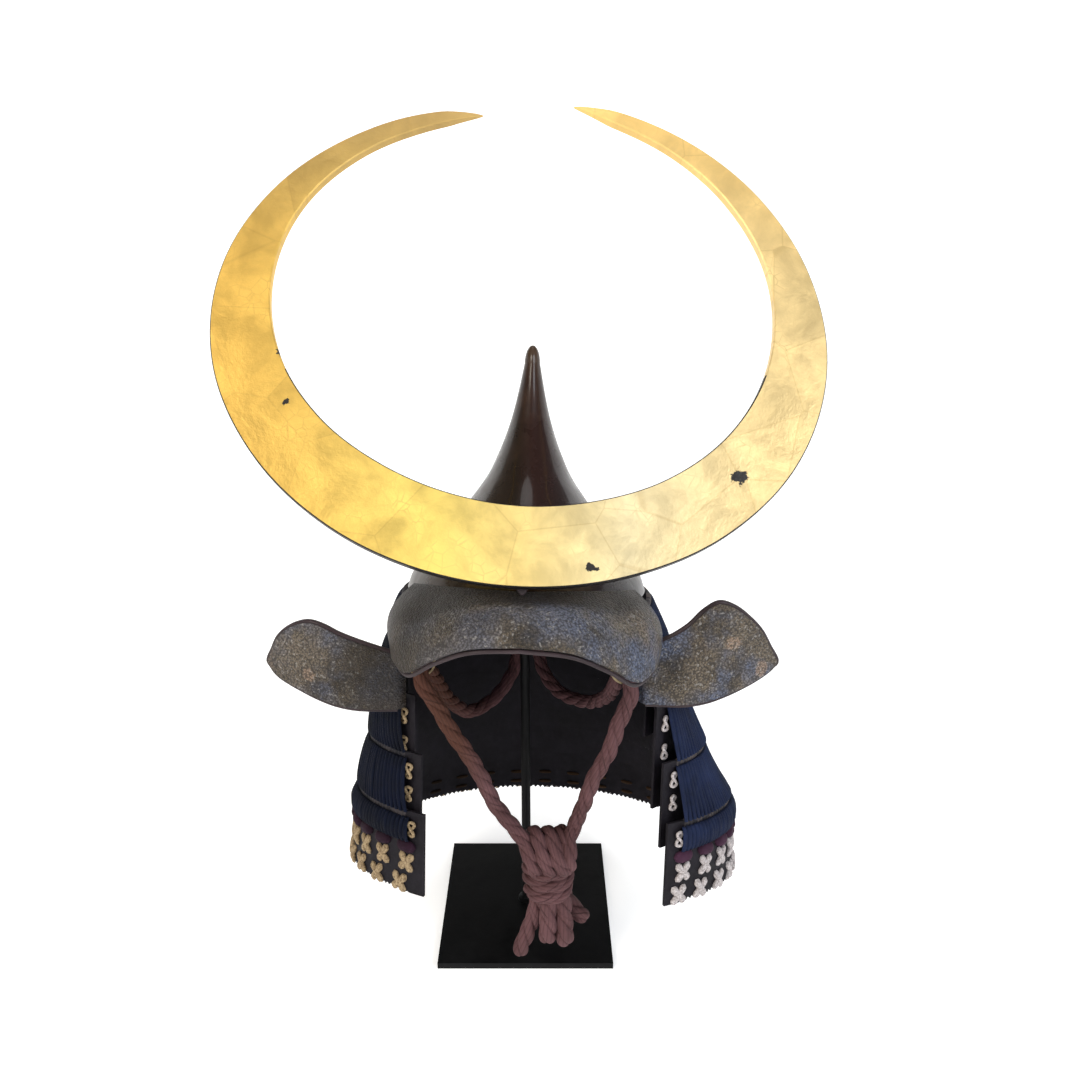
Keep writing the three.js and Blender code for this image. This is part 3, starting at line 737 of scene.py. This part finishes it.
def rope_silk():
    """Dusty mauve rope: fine slanting yarns on each strand, browner in patches."""
    shader = Shader("rope_silk", Specular_IOR_Level=0.15)
    around, along, _ = shader.axes(shader.measure())
    slope = shader.math("ADD", shader.math("MULTIPLY", around, 12.0), shader.math("MULTIPLY", along, 260.0))
    yarn = shader.math("ABSOLUTE", shader.math("SUBTRACT", shader.math("FRACT", slope), 0.5))
    x, _, z = shader.axes(shader.place())
    patches = shader.noise(22, 4, 0.6)
    mauve = shader.ramp(patches, (0.35, (0.07, 0.032, 0.033)), (0.65, (0.125, 0.062, 0.066)))
    orange = shader.math("MULTIPLY", shader.span(x, -0.02, -0.05), shader.span(z, 0.16, 0.24))
    tone = shader.mix(shader.math("MULTIPLY", orange, 0.8), mauve, (0.062, 0.024, 0.012))
    tone = shader.mix(shader.span(yarn, 0.32, 0.5, 0, 0.4), tone, (0.022, 0.01, 0.011))
    shader.send("Base Color", tone)
    shader.send("Roughness", shader.span(patches, 0.3, 0.7, 0.75, 0.95))
    shader.bump((yarn, 0.0008), (shader.noise(900, 3), 0.0002))
    return shader.material


def old_metal(name, dark, light, roughness=0.4):
    """Dull metal with tarnish in patches."""
    shader = Shader(name, Metallic=0.9)
    patches = shader.noise(160, 5, 0.65)
    shader.send("Base Color", shader.ramp(patches, (0.4, dark), (0.65, light)))
    shader.send("Roughness", shader.span(patches, 0.3, 0.7, roughness - 0.12, roughness + 0.2))
    shader.bump((shader.noise(700, 3), 0.0001))
    return shader.material


def lame_finish():
    """Purple-black lacquer on the plates, a little uneven and mottled."""
    shader = Shader("lame_finish", Specular_IOR_Level=0.1)
    patches = shader.noise(40, 5, 0.65)
    tone = shader.ramp(patches, (0.35, (0.006, 0.005, 0.007)), (0.75, (0.018, 0.016, 0.021)))
    shader.send("Base Color", tone)
    shader.send("Roughness", shader.span(patches, 0.3, 0.7, 0.45, 0.7))
    shader.bump((shader.noise(110, 3), 0.0006), (shader.noise(800, 2), 0.0001))
    return shader.material


def lip_finish():
    """The scale heads along a lame's top, worn from black to tan-grey, with painted shade dimming the wear
    towards the left.
    """
    shader = Shader("lip_finish", Specular_IOR_Level=0.12)
    x = shader.axes(shader.place())[0]
    wear = shader.noise(75, 5, 0.65)
    # painted shade: less of the worn tan-grey shows towards the left
    side = shader.span(x, -0.14, 0.06, 0.25, 1.0)
    dark = shader.ramp(wear, (0.35, (0.008, 0.008, 0.011)), (0.7, (0.026, 0.026, 0.033)))
    worn = shader.math("MULTIPLY", shader.span(wear, 0.4, 0.6), side)
    tone = shader.mix(worn, dark, (0.085, 0.07, 0.068))
    shader.send("Base Color", tone)
    shader.send("Roughness", shader.span(wear, 0.3, 0.7, 0.5, 0.75))
    shader.bump((shader.noise(200, 4), 0.0004))
    return shader.material


def cream_silk():
    """Thick cream lacing of the crosses, with painted shade turning it darker tan at the left, and shadowed
    fibres.
    """
    shader = Shader("cream_silk", Specular_IOR_Level=0.2)
    x = shader.axes(shader.place())[0]
    fibres = shader.noise(700, 3, 0.6)
    cream = shader.ramp(fibres, (0.35, (0.22, 0.19, 0.185)), (0.6, (0.5, 0.46, 0.46)))
    tan = shader.ramp(fibres, (0.35, (0.13, 0.085, 0.045)), (0.6, (0.36, 0.27, 0.16)))
    # painted shade: darker tan at the left, cream at the right
    shader.send("Base Color", shader.mix(shader.span(x, -0.05, 0.05), tan, cream))
    shader.send("Roughness", shader.span(fibres, 0.3, 0.7, 0.7, 0.9))
    shader.bump((fibres, 0.0005))
    return shader.material


def stage_white():
    """A pale floor that carries on up into a pale wall."""
    shader = Shader("stage_white", Roughness=0.8)
    dust = shader.noise(3, 3)
    shader.send("Base Color", shader.ramp(dust, (0.3, (0.86, 0.86, 0.86)), (0.7, (0.9, 0.9, 0.9))))
    shader.surface.inputs["Emission Color"].default_value = (1, 1, 1, 1)
    shader.surface.inputs["Emission Strength"].default_value = 0.5
    return shader.material


# ------------------------------------------------------------------ helmet surfaces
def part_matrix(part):
    turn = Matrix.Rotation(math.radians(part["yaw"]), 4, "Z")
    lean = Matrix.Rotation(-math.radians(part["lean"]), 4, "X")
    roll = Matrix.Rotation(math.radians(part["roll"]), 4, "Y")
    return Matrix.Translation(part["at"]) @ turn @ lean @ roll


HELMET_MATRIX = part_matrix(HELMET)
CREST_MATRIX = HELMET_MATRIX @ part_matrix(CRESCENT)


def bowl_point(angle, height, clearance=0.0):
    """A point of the bowl's outline at a height, by angle from the right round the back."""
    if height > BOWL_ROWS[-1][0]:
        up = (height - BOWL_ROWS[-1][0]) / (BOWL_PEAK - BOWL_ROWS[-1][0])
        taper = math.sqrt(max(0.0, 1 - up * up))
        width = BOWL_ROWS[-1][1] * taper
        length = BOWL_ROWS[-1][2] * taper
    else:
        width = read_rows(BOWL_ROWS, 1, height)
        length = read_rows(BOWL_ROWS, 2, height)
    ridge = 1 + BOWL_KEEL * (1 - abs(math.cos(angle))) ** 2
    across = (width + clearance) * ridge * math.cos(angle)
    along = (length + clearance) * ridge * math.sin(angle)
    return Vector((across, along, height))


def visor_point(across, out):
    """A point on the visor's top: across -1..1 from side to side, out 0..1 from root to edge."""
    root = math.radians(across * VISOR["root_span"]) - math.pi / 2
    root_height = VISOR["root_height"] - VISOR["root_drop"] * across * across
    inner = bowl_point(root, root_height, 2 * GAP)
    share = abs(across)
    side = math.copysign(read_rows(VISOR_EDGE_ROWS, 1, share), across)
    reach = read_rows(VISOR_EDGE_ROWS, 2, share)
    height = read_rows(VISOR_EDGE_ROWS, 3, share) - VISOR["skew"] * side
    outer = Vector((side + VISOR["sway"], -reach, height))
    swell = VISOR["bulge"] * math.sin(out * math.pi)
    return inner.lerp(outer, out) + Vector((math.cos(root), math.sin(root), 0.35)) * swell


def lame_rise(lame, share):
    """How far a lame's front ends draw it up, at a share of the way from the back to an end."""
    return lame["rise"] * (1 - math.cos(share * math.pi)) / 2


def lame_point(lame, share, height):
    """A point on a lame's outside: share of the way from the back to an end, and height."""
    down = (lame["top"] - height) / (lame["top"] - lame["bottom"])
    width = lerp(lame["top_width"], lame["bottom_width"], down)
    rear = lame["rear"] - LAME_REAR_SPREAD * (1 - down)
    end = math.pi - math.asin((lame["left"] if share < 0 else lame["right"]) / width)
    front = lame["end_y"] / math.cos(end)
    angle = share * end
    reach = rear if math.cos(angle) > 0 else front
    across = width * math.sin(angle) + lame["sway"]
    return Vector((across, reach * math.cos(angle), height + lame_rise(lame, share)))


def lame_frame(lame, share, height):
    """A point on a lame in the frame, with its directions along, up and out."""
    step = 1e-3
    spot = HELMET_MATRIX @ lame_point(lame, share, height)
    along = HELMET_MATRIX @ lame_point(lame, min(share + step, 1), height) - spot
    up = HELMET_MATRIX @ lame_point(lame, share, height + step) - spot
    along.normalize()
    out = up.cross(along).normalized()
    return spot, along, along.cross(out), out


def wing_route(points):
    return smooth_route([(x, 0, z) for x, z in points], 12)


def along_route(route, share):
    place = clamp(share) * (len(route) - 1)
    index = min(int(place), len(route) - 2)
    return route[index].lerp(route[index + 1], place - index)


def place_on_wing(wing, point):
    share = point.x / wing["upper"][-1][0]
    hollow = WING["hollow"] * math.sin(share * math.pi)
    back = lerp(WING["root_y"], WING["tip_y"], share * share) - hollow
    return Vector((wing["side"] * (WING["root_x"] + point.x), back, point.z))


# ------------------------------------------------------------------ stage, lights and camera
def build_stage():
    """A round floor that sweeps up into a wall."""
    profile = [(0.0001, 0), (FLOOR_RADIUS, 0)]
    for step in evenly(12)[1:]:
        turn = step * math.pi / 2
        curve = WALL_RADIUS - FLOOR_RADIUS
        profile.append((FLOOR_RADIUS + curve * math.sin(turn), curve * (1 - math.cos(turn))))
    profile.append((WALL_RADIUS, WALL_HEIGHT))
    solid = Solid()
    add_revolved(solid, profile, Vector((0, 0, 0)), 96, caps=False)
    mesh = bpy.data.meshes.new("stage")
    mesh.from_pydata([tuple(p) for p in solid.points], [], solid.faces)
    mesh.shade_smooth()
    mesh.materials.append(stage_white())
    stage = bpy.data.objects.new("stage", mesh)
    bpy.context.scene.collection.objects.link(stage)


def add_light(name, place, target, size, power, colour):
    data = bpy.data.lights.new(name, "AREA")
    data.shape = "DISK"
    data.size = size
    data.energy = power
    data.color = colour
    light = bpy.data.objects.new(name, data)
    light.location = place
    light.rotation_euler = (Vector(target) - Vector(place)).to_track_quat("-Z", "Y").to_euler()
    bpy.context.scene.collection.objects.link(light)


def build_lights():
    add_light("key_left", (-1.5, -1.5, 1.9), (0, 0, 0.35), 1.0, 34, (1.0, 0.92, 0.8))
    add_light("fill_right", (1.7, -1.3, 1.6), (0, 0, 0.3), 1.1, 30, (0.88, 0.94, 1.0))
    add_light("top", (0.0, 0.4, 2.6), (0, 0, 0.3), 1.6, 16, (1.0, 1.0, 1.0))
    world = bpy.data.worlds.new("studio")
    bpy.context.scene.world = world
    world.use_nodes = True
    world.node_tree.nodes["Background"].inputs["Color"].default_value = (1, 1, 1, 1)
    world.node_tree.nodes["Background"].inputs["Strength"].default_value = 0.2


def build_camera():
    data = bpy.data.cameras.new("camera")
    data.lens = CAMERA_LENS
    data.sensor_width = SENSOR_WIDTH
    camera = bpy.data.objects.new("camera", data)
    camera.location = CAMERA_PLACE
    camera.rotation_euler = (math.radians(CAMERA_PITCH), 0, 0)
    bpy.context.scene.collection.objects.link(camera)
    bpy.context.scene.camera = camera
    bpy.context.scene.view_settings.view_transform = "Standard"


# ------------------------------------------------------------------ chin cord
def add_rope(solid, route, ends_rounded=False, fullness=1.0):
    radius = CORD_RADIUS * fullness
    taper = rounded_ends(route_length(route), radius) if ends_rounded else None
    add_tube(solid, route, rope_section(radius), 2 * math.pi / ROPE_LAY, taper=taper)


def wrap_route():
    """The coil of rope round the knot's waist, a little oval and slack between its turns."""
    route = []
    steps = round(KNOT["turns"] * 40)
    for step in evenly(steps):
        turn = 2 * math.pi * KNOT["turns"] * step + math.pi
        radius = KNOT["radius"] * (1 + 0.03 * math.sin(1.7 * turn))
        x = KNOT["x"] + radius * math.cos(turn)
        y = KNOT["y"] + 0.9 * radius * math.sin(turn)
        z = lerp(KNOT["low"], KNOT["high"], step) - 0.0022 * math.cos(turn)
        route.append(Vector((x, y, z)))
    return route


def build_cord(material):
    """The free runs of the chin cord, and its knot of wraps, folds, bights and ends."""
    knot_solid = Solid()
    add_rope(knot_solid, wrap_route(), True)
    for name, points in KNOT_ROUTES.items():
        add_rope(knot_solid, even_route(points, 0.001), True, KNOT_FULLNESS.get(name, 1.0))
    knot_nodes = ("cord_knot", "cord_tail_left", "cord_tail_right", "cord_bight_left", "cord_bight_right")
    knot = knot_solid.piece("knot", material, "mauve_rope", knot_nodes, 50)

    for name, points in CORD_ROUTES.items():
        route = even_route(points, 0.001)
        solid = Solid()
        add_rope(solid, route)
        rope = solid.piece("rope_" + name.removeprefix("cord_"), material, "mauve_rope", [name], 50)
        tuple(route[0])
        round(route_length(route), 3)


def build_rings(material):
    for name, place in RING_PLACES.items():
        centre = Vector(place["at"])
        route = []
        for turn in full_turn(48):
            first = RING["radius"] * math.cos(turn)
            second = RING["radius"] * math.sin(turn)
            offset = Vector((first, 0, second)) if place["axis"] == "Y" else Vector((0, first, second))
            route.append(HELMET_MATRIX @ (centre + offset))
        solid = Solid()
        add_tube(solid, route, round_section(RING["wire"]), closed=True)
        solid.piece("ring_" + name.removeprefix("cord_ring_"), material, "ring_brass", [name])


# ------------------------------------------------------------------ stand
def build_stand(material):
    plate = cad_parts["stand_plate"]
    plate.data.materials.clear()
    plate.data.materials.append(material)
    bevel = plate.modifiers.new("eased_edges", "BEVEL")
    bevel.width = 0.0007
    bevel.segments = 3

    low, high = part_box("stand_post")
    centre = (low + high) / 2
    radius = (high.x - low.x) / 2
    axis = Vector((centre.x, centre.y, 0))
    post_profile = [(radius * wide, low.z + up * MM) for wide, up in POST_FOOT]
    solid = Solid()
    add_revolved(solid, [*post_profile, (radius, high.z)], axis)
    solid.piece("post", material, "stand_steel", ["stand_post"])

    low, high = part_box("stand_pad")
    wide = (high.x - low.x) / 2
    tall = high.z - low.z
    turns = [step * math.pi / 2 for step in evenly(10)[:-1]]
    pad_profile = [(wide * math.cos(turn), low.z + tall * math.sin(turn)) for turn in turns]
    solid = Solid()
    add_revolved(solid, [(radius, low.z), (wide * 0.98, low.z), *pad_profile], axis)
    solid.piece("pad", material, "stand_steel", ["stand_pad"])


# ------------------------------------------------------------------ bowl and visor
def build_bowl(material):
    heights = [lerp(0, BOWL_ROWS[-1][0], v) for v in evenly(60)]
    heights += [lerp(BOWL_ROWS[-1][0], BOWL_PEAK, math.sin(v * math.pi / 2)) for v in evenly(8)[1:-1]]
    turns = full_turn(BOWL_SIDES)

    def ring(height, clearance=0.0, drop=0.0):
        down = Vector((0, 0, drop))
        return [HELMET_MATRIX @ (bowl_point(turn, height, clearance) - down) for turn in turns]

    outside = [ring(height) for height in heights]
    rim = ring(0, -BOWL_WALL / 2, BOWL_RIM_DROP)
    inside = [ring(height, -BOWL_WALL) for height in heights if height < BOWL_ROWS[-1][0]]
    grid = outside[::-1] + [rim] + inside
    solid = Solid()
    solid.add_grid(grid, [[(0, 0)] * len(turns) for _ in grid], wrap_columns=True, caps=True)
    solid.piece("bowl_shell", material, "lacquered_iron", ["bowl"], BOWL_RIDGE_ANGLE)


def build_visor(material, rim_material):
    def place(u, v):
        return HELMET_MATRIX @ visor_point(2 * u - 1, v)

    solid = Solid()
    add_shell(solid, place, evenly(80), evenly(24), constant(-VISOR["wall"]), constant(0.0))
    solid.piece("visor_shell", material, "grained_leather", ["visor"])

    edge = [place(u, 1) for u in evenly(80)]
    drop = HELMET_MATRIX.to_3x3() @ Vector((0, 0.5, -1)).normalized() * VISOR["wall"]
    solid = Solid()
    add_tube(solid, [point + drop for point in edge], round_section(VISOR_RIM_RADIUS))
    solid.piece("visor_roll", rim_material, "rim_lacquer", ["visor_rim"])


# ------------------------------------------------------------------ crest
def build_crescent(gold, lacquer):
    """The gilt board, with its outer edge and the low part of its inner edge in black lacquer."""
    first = CRESCENT_ROWS[0][0]
    last = CRESCENT_ROWS[-1][0]
    rows = []
    uvs = []
    steps = 240
    for share in evenly(steps):
        angle = lerp(first, last, share)
        outer = read_rows(CRESCENT_ROWS, 1, angle)
        inner = read_rows(CRESCENT_ROWS, 2, angle)
        tip = math.sqrt(clamp(min(angle - first, last - angle) / CRESCENT_TIP, 0.02, 1))
        middle = (outer + inner) / 2
        inner = lerp(middle, inner, tip)
        outer = lerp(middle, outer, tip)
        half = CRESCENT["thickness"] / 2 * tip
        ease = CRESCENT["edge"] * tip
        section = [
            (inner, half - ease), (inner + ease, half), (outer - ease, half), (outer, half - ease),
            (outer, ease - half), (outer - ease, -half), (inner + ease, -half), (inner, ease - half),
        ]
        turn = math.radians(angle)
        local = []
        for radius, depth in section:
            across = radius * math.sin(turn)
            local.append(Vector((across, depth, CRESCENT["centre"] - radius * math.cos(turn))))
        rows.append([CREST_MATRIX @ point for point in local])
        uvs.append([(point.x, point.z) for point in local])
    solid = Solid()
    solid.add_grid(rows, uvs, wrap_columns=True, caps=True)
    board = solid.piece("crescent_board", gold, "gold_leaf", ["crescent"], 30)
    board.data.materials.append(lacquer)
    for face in board.data.polygons[:steps * 8]:
        side = face.index % 8
        angle = lerp(first, last, face.index // 8 / steps)
        low_edge = side in (2, 3, 4) or (side in (6, 7, 0) and abs(angle) < 75)
        face.material_index = int(low_edge)


def build_peg(material):
    """The peg that holds the crest: a tapered tongue with a rounded foot."""
    back = CRESCENT["thickness"] / 2 + GAP + CREST_PEG["depth"] / 2
    rows = []
    for share in evenly(20):
        height = lerp(-CREST_PEG["below"], CREST_PEG["height"] - CREST_PEG["below"], share)
        foot = math.sqrt(clamp(share * CREST_PEG["height"] / 0.005))
        half_width = CREST_PEG["width"] / 2 * max(0.25, foot)
        half_depth = CREST_PEG["depth"] / 2 * max(0.4, foot)
        row = []
        for turn in full_turn(24):
            x = math.copysign(abs(math.cos(turn)) ** 0.5, math.cos(turn)) * half_width
            y = math.copysign(abs(math.sin(turn)) ** 0.5, math.sin(turn)) * half_depth
            row.append(CREST_MATRIX @ Vector((x, back + y, height)))
        rows.append(row)
    solid = Solid()
    solid.add_grid(rows, [[(0, 0)] * 24 for _ in rows], wrap_columns=True, caps=True)
    solid.piece("peg", material, "rim_lacquer", ["crest_holder"])


# ------------------------------------------------------------------ neck guard
def lacing_reach(lame):
    """The share of the way to a lame's end at which its lacing stops."""
    return 1 - LACING["end_margin"] / (2.2 * lame["bottom_width"])


def lame_length(lame):
    middle = (lame["top"] + lame["bottom"]) / 2
    return route_length([lame_point(lame, 2 * u - 1, middle) for u in evenly(60)])


def strand_count(lame):
    return round(lame_length(lame) * lacing_reach(lame) / LACING["pitch"])


def build_lame(number, lame, materials):
    """A lame's plate, with its row of worn scale heads and, at the bottom, jagged scale ends."""
    count = strand_count(lame)
    columns = count * 4
    reach = lacing_reach(lame)
    height = lame["top"] - lame["bottom"]
    lip = LACING["lip"] / height
    is_last = lame is LAMES[-1]

    def scale_wave(u):
        return abs(math.sin(math.pi * (2 * u - 1) / reach * count / 2))

    def covered(u):
        return clamp((reach - abs(2 * u - 1)) * 40)

    def place(u, v):
        share = 2 * u - 1
        jag = SCALE_JAG * scale_wave(u) * covered(u) * (1.0 if is_last else 0.4)
        head = SCALE_HEAD * (1 - scale_wave(u)) * covered(u)
        top = lame["top"] - head * (1 - v) ** 8
        bottom = lame["bottom"] + jag * v ** 8
        return HELMET_MATRIX @ lame_point(lame, share, lerp(top, bottom, v))

    def lip_swell(u, v):
        middle = clamp(1 - ((v - lip / 2) / (lip / 2)) ** 2) if v < lip else 0.0
        return math.sqrt(middle) * LIP_SWELL * covered(u) * (0.55 + 0.45 * scale_wave(u))

    down = [lip * step for step in LIP_STEPS] + [lip + 0.02]
    down += [lerp(lip + 0.1, 0.93, v) for v in evenly(4)] + [1]
    size = (lame_length(lame), height)
    solid = Solid()
    add_shell(solid, place, evenly(columns), down, constant(-LAME_WALL), lip_swell, size)
    plate = solid.piece(f"plate_{number}", materials["lame"], "lame_lacquer", [f"lame_{number}"], 50)
    plate.data.materials.append(materials["lip"])
    ring = 2 * len(down)
    lip_start = ring - len(LIP_STEPS) - 1
    for face in plate.data.polygons[:columns * ring]:
        row = face.index % ring
        u = face.index // ring / columns
        face.material_index = int(row >= lip_start and covered(u) > 0.5)


def build_lacing(number, lame, next_lame, material):
    """The upright silk strands over one lame, swelling out and tucked under the next lame."""
    count = strand_count(lame)
    reach = lacing_reach(lame)
    top = lame["top"] - LACING["lip"] * 0.7
    solid = Solid()
    for index in range(count):
        share = (2 * (index + 0.5) / count - 1) * reach
        bottom = LACING["last_bottom"]
        if next_lame:
            bottom = next_lame["top"] - 0.001 + lame_rise(next_lame, share) - lame_rise(lame, share)
        slack = random.uniform(0.8, 1.2)
        add_strand(solid, lame, share, (top, bottom), next_lame, slack)
    solid.piece(f"silk_{number}", material, "blue_silk", [f"lacing_{number}"], 60)


def add_strand(solid, lame, share, span, next_lame, slack):
    """One strand down a lame's face, leaning out at its foot to the top of the next lame."""
    top, bottom = span
    half = LACING["pitch"] * 0.52
    foot = lame_frame(lame, share, bottom)[0]
    step_out = Vector((0, 0, 0))
    if next_lame:
        step_out = HELMET_MATRIX @ lame_point(next_lame, share, next_lame["top"]) - foot
    rows = []
    uvs = []
    for step in evenly(12):
        spot, along, up, out = lame_frame(lame, share, lerp(top, bottom, step))
        swell = math.sin(math.pi * step) ** 0.7
        lift = LACING["lift"] + LACING["swell"] * slack * swell
        centre = spot + out * lift + step_out * step ** 1.8
        squeeze = 0.75 + 0.25 * swell
        row = []
        marks = []
        for turn in full_turn(8):
            side = along * half * squeeze * math.cos(turn)
            row.append(centre + side + out * (LACING["depth"] * math.sin(turn)))
            marks.append((0.5 + 0.5 * math.cos(turn), step * (top - bottom)))
        rows.append(row)
        uvs.append(marks)
    solid.add_grid(rows, uvs, wrap_columns=True, caps=True)


def add_pad(solid, frame_at, size, turn, waist=0.0):
    """A plump pad of silk on the surface, narrowed at its middle by waist."""
    spot, along, up, out = frame_at
    half_long, half_wide, thick = size
    long_way = along * math.cos(turn) + up * math.sin(turn)
    wide_way = up * math.cos(turn) - along * math.sin(turn)
    rows = []
    for step in evenly(12):
        at = 2 * step - 1
        round_off = math.sqrt(max(0.0004, 1 - abs(at) ** 3.2))
        width = half_wide * round_off * (1 - waist * (1 - at * at) ** 2)
        row = []
        for around in full_turn(10):
            high = thick * round_off * (0.35 + math.sin(around))
            row.append(spot + long_way * half_long * at + wide_way * width * math.cos(around) + out * high)
        rows.append(row)
    solid.add_grid(rows, [[(0, 0)] * 10 for _ in rows], wrap_columns=True, caps=True)


def add_edge_knot(solid, frame_at):
    """A small upright figure of eight in cord, one strand crossing over the other."""
    spot, along, up, out = frame_at
    route = []
    for turn in full_turn(28):
        side = along * EDGE_KNOT["half_wide"] * math.sin(2 * turn)
        high = up * EDGE_KNOT["half_high"] * math.cos(turn)
        route.append(spot + side + high + out * (0.0016 + 0.0007 * math.sin(turn)))
    add_tube(solid, route, round_section(EDGE_KNOT["cord"], 8), closed=True)


def build_trim(materials):
    """Knots along the front edges, and the purple studs and cream crosses of the last lame."""
    last = LAMES[-1]
    knots = Solid()
    for lame, heights in zip(LAMES, EDGE_KNOT_HEIGHTS):
        share = lacing_reach(lame) + EDGE_KNOT["past_lacing"]
        for side in (-1, 1):
            for height in heights:
                add_edge_knot(knots, lame_frame(lame, side * share, height))
    knots.piece("edge_knots", materials["cream"], "blue_silk", smooth_angle=60)

    studs = Solid()
    crosses = Solid()
    inside = Solid()
    spacing = TRIM["spacing"] / lame_length(last) * 2
    count = int(TRIM["reach"] / spacing)
    for index in range(-count, count + 1):
        share = index * TRIM["reach"] / count
        tilt = random.uniform(-TRIM["tilt"], TRIM["tilt"])
        add_pad(studs, lame_frame(last, share, STUD["height"]), STUD["size"], tilt)
        for row, height in enumerate(CROSS["heights"]):
            at = clamp(share + row * spacing * 0.25, -TRIM["limit"], TRIM["limit"])
            for turn in (CROSS["turn"], -CROSS["turn"]):
                add_pad(crosses, lame_frame(last, at, height), CROSS["size"], turn + tilt, CROSS["waist"])
        for height in INNER_STITCH["heights"]:
            spot, along, up, out = lame_frame(last, share, height)
            behind = (spot - out * (LAME_WALL + GAP), along, up, -out)
            add_pad(inside, behind, INNER_STITCH["size"], 0.0)
    studs.piece("purple_studs", materials["purple"], "blue_silk", smooth_angle=60)
    crosses.piece("cream_crosses", materials["cream"], "blue_silk", smooth_angle=60)
    inside.piece("inner_stitches", materials["stitch"], "blue_silk", smooth_angle=60)


# ------------------------------------------------------------------ wings
def build_wing(name, material, rim_material):
    wing = WINGS[name]
    upper = wing_route(wing["upper"])
    lower = wing_route(wing["lower"])
    start = WING["fold"] / (WING["fold"] + wing["upper"][-1][0])
    middle = Vector((wing["upper"][2][0] * 0.7, 0, -0.055))

    def place(u, v):
        along = max(0.0, (u - start) / (1 - start))
        flat = along_route(upper, along).lerp(along_route(lower, along), v)
        point = place_on_wing(wing, middle + (flat - middle) * WING["fullness"])
        back = WING["fold"] * max(0.0, 1 - u / start)
        return HELMET_MATRIX @ (point + Vector((-0.45 * wing["side"] * back, 0.9 * back, 0)))

    solid = Solid()
    behind = wing["side"] * -WING["wall"]
    add_shell(solid, place, evenly(70), evenly(28), constant(0.0), constant(behind))
    solid.piece(f"wing_face_{name}", material, "grained_leather", [f"wing_{name}"])

    outline = [along_route(upper, share) for share in evenly(40)]
    outline += [along_route(lower, 1 - share) for share in evenly(40)[1:]]
    route = []
    for point in outline:
        spread = middle + (point - middle) * WING["fullness"]
        spread += (point - middle).normalized() * WING["rim_margin"]
        route.append(HELMET_MATRIX @ place_on_wing(wing, spread))
    solid = Solid()
    add_tube(solid, even_route(route[::4], 0.0015), round_section(WING["rim"]))
    solid.piece(f"wing_edge_{name}", rim_material, "rim_lacquer", [f"wing_rim_{name}"])


# ------------------------------------------------------------------ assembly
def build_all():
    build_camera()
    build_cord(rope_silk())
    build_stage()
    build_lights()
    lame_materials = {
        "lame": lame_finish(), "lip": lip_finish(), "cream": cream_silk(),
        "purple": silk("purple_silk", (0.05, 0.018, 0.04), (0.12, 0.05, 0.095), 500),
        # the inner stitches are cream silk given a dark brown colour: painted shade of the dark inside
        "stitch": silk("stitch_silk_painted_shade", (0.03, 0.014, 0.006), (0.1, 0.06, 0.035), 500),
    }
    blue = silk("blue_silk", (0.007, 0.011, 0.03), (0.022, 0.034, 0.09))
    rim = black_lacquer("rim_lacquer", (0.022, 0.015, 0.017), 0.4)
    build_stand(black_lacquer("stand_black", (0.0006, 0.0007, 0.001), 0.5, 0.03))
    build_bowl(bowl_lacquer())
    build_visor(grained_leather("visor_leather", 0.02, VISOR_SPOTS, visor_painted_shadow), rim)
    build_crescent(gold_leaf(), black_lacquer("edge_lacquer", (0.008, 0.007, 0.007), 0.3))
    build_peg(rim)
    for name, painted_wing_shade in (("left", left_wing_painted_shade), ("right", None)):
        build_wing(name, grained_leather(f"wing_leather_{name}", -0.13, WING_SPOTS[name], painted_wing_shade), rim)
    for number, (lame, next_lame) in enumerate(zip(LAMES, LAMES[1:] + [None]), 1):
        build_lame(number, lame, lame_materials)
        build_lacing(number, lame, next_lame, blue)
    build_trim(lame_materials)
    build_rings(old_metal("old_brass", (0.12, 0.09, 0.05), (0.4, 0.32, 0.19)))


build_all()
bpy.context.view_layer.update()
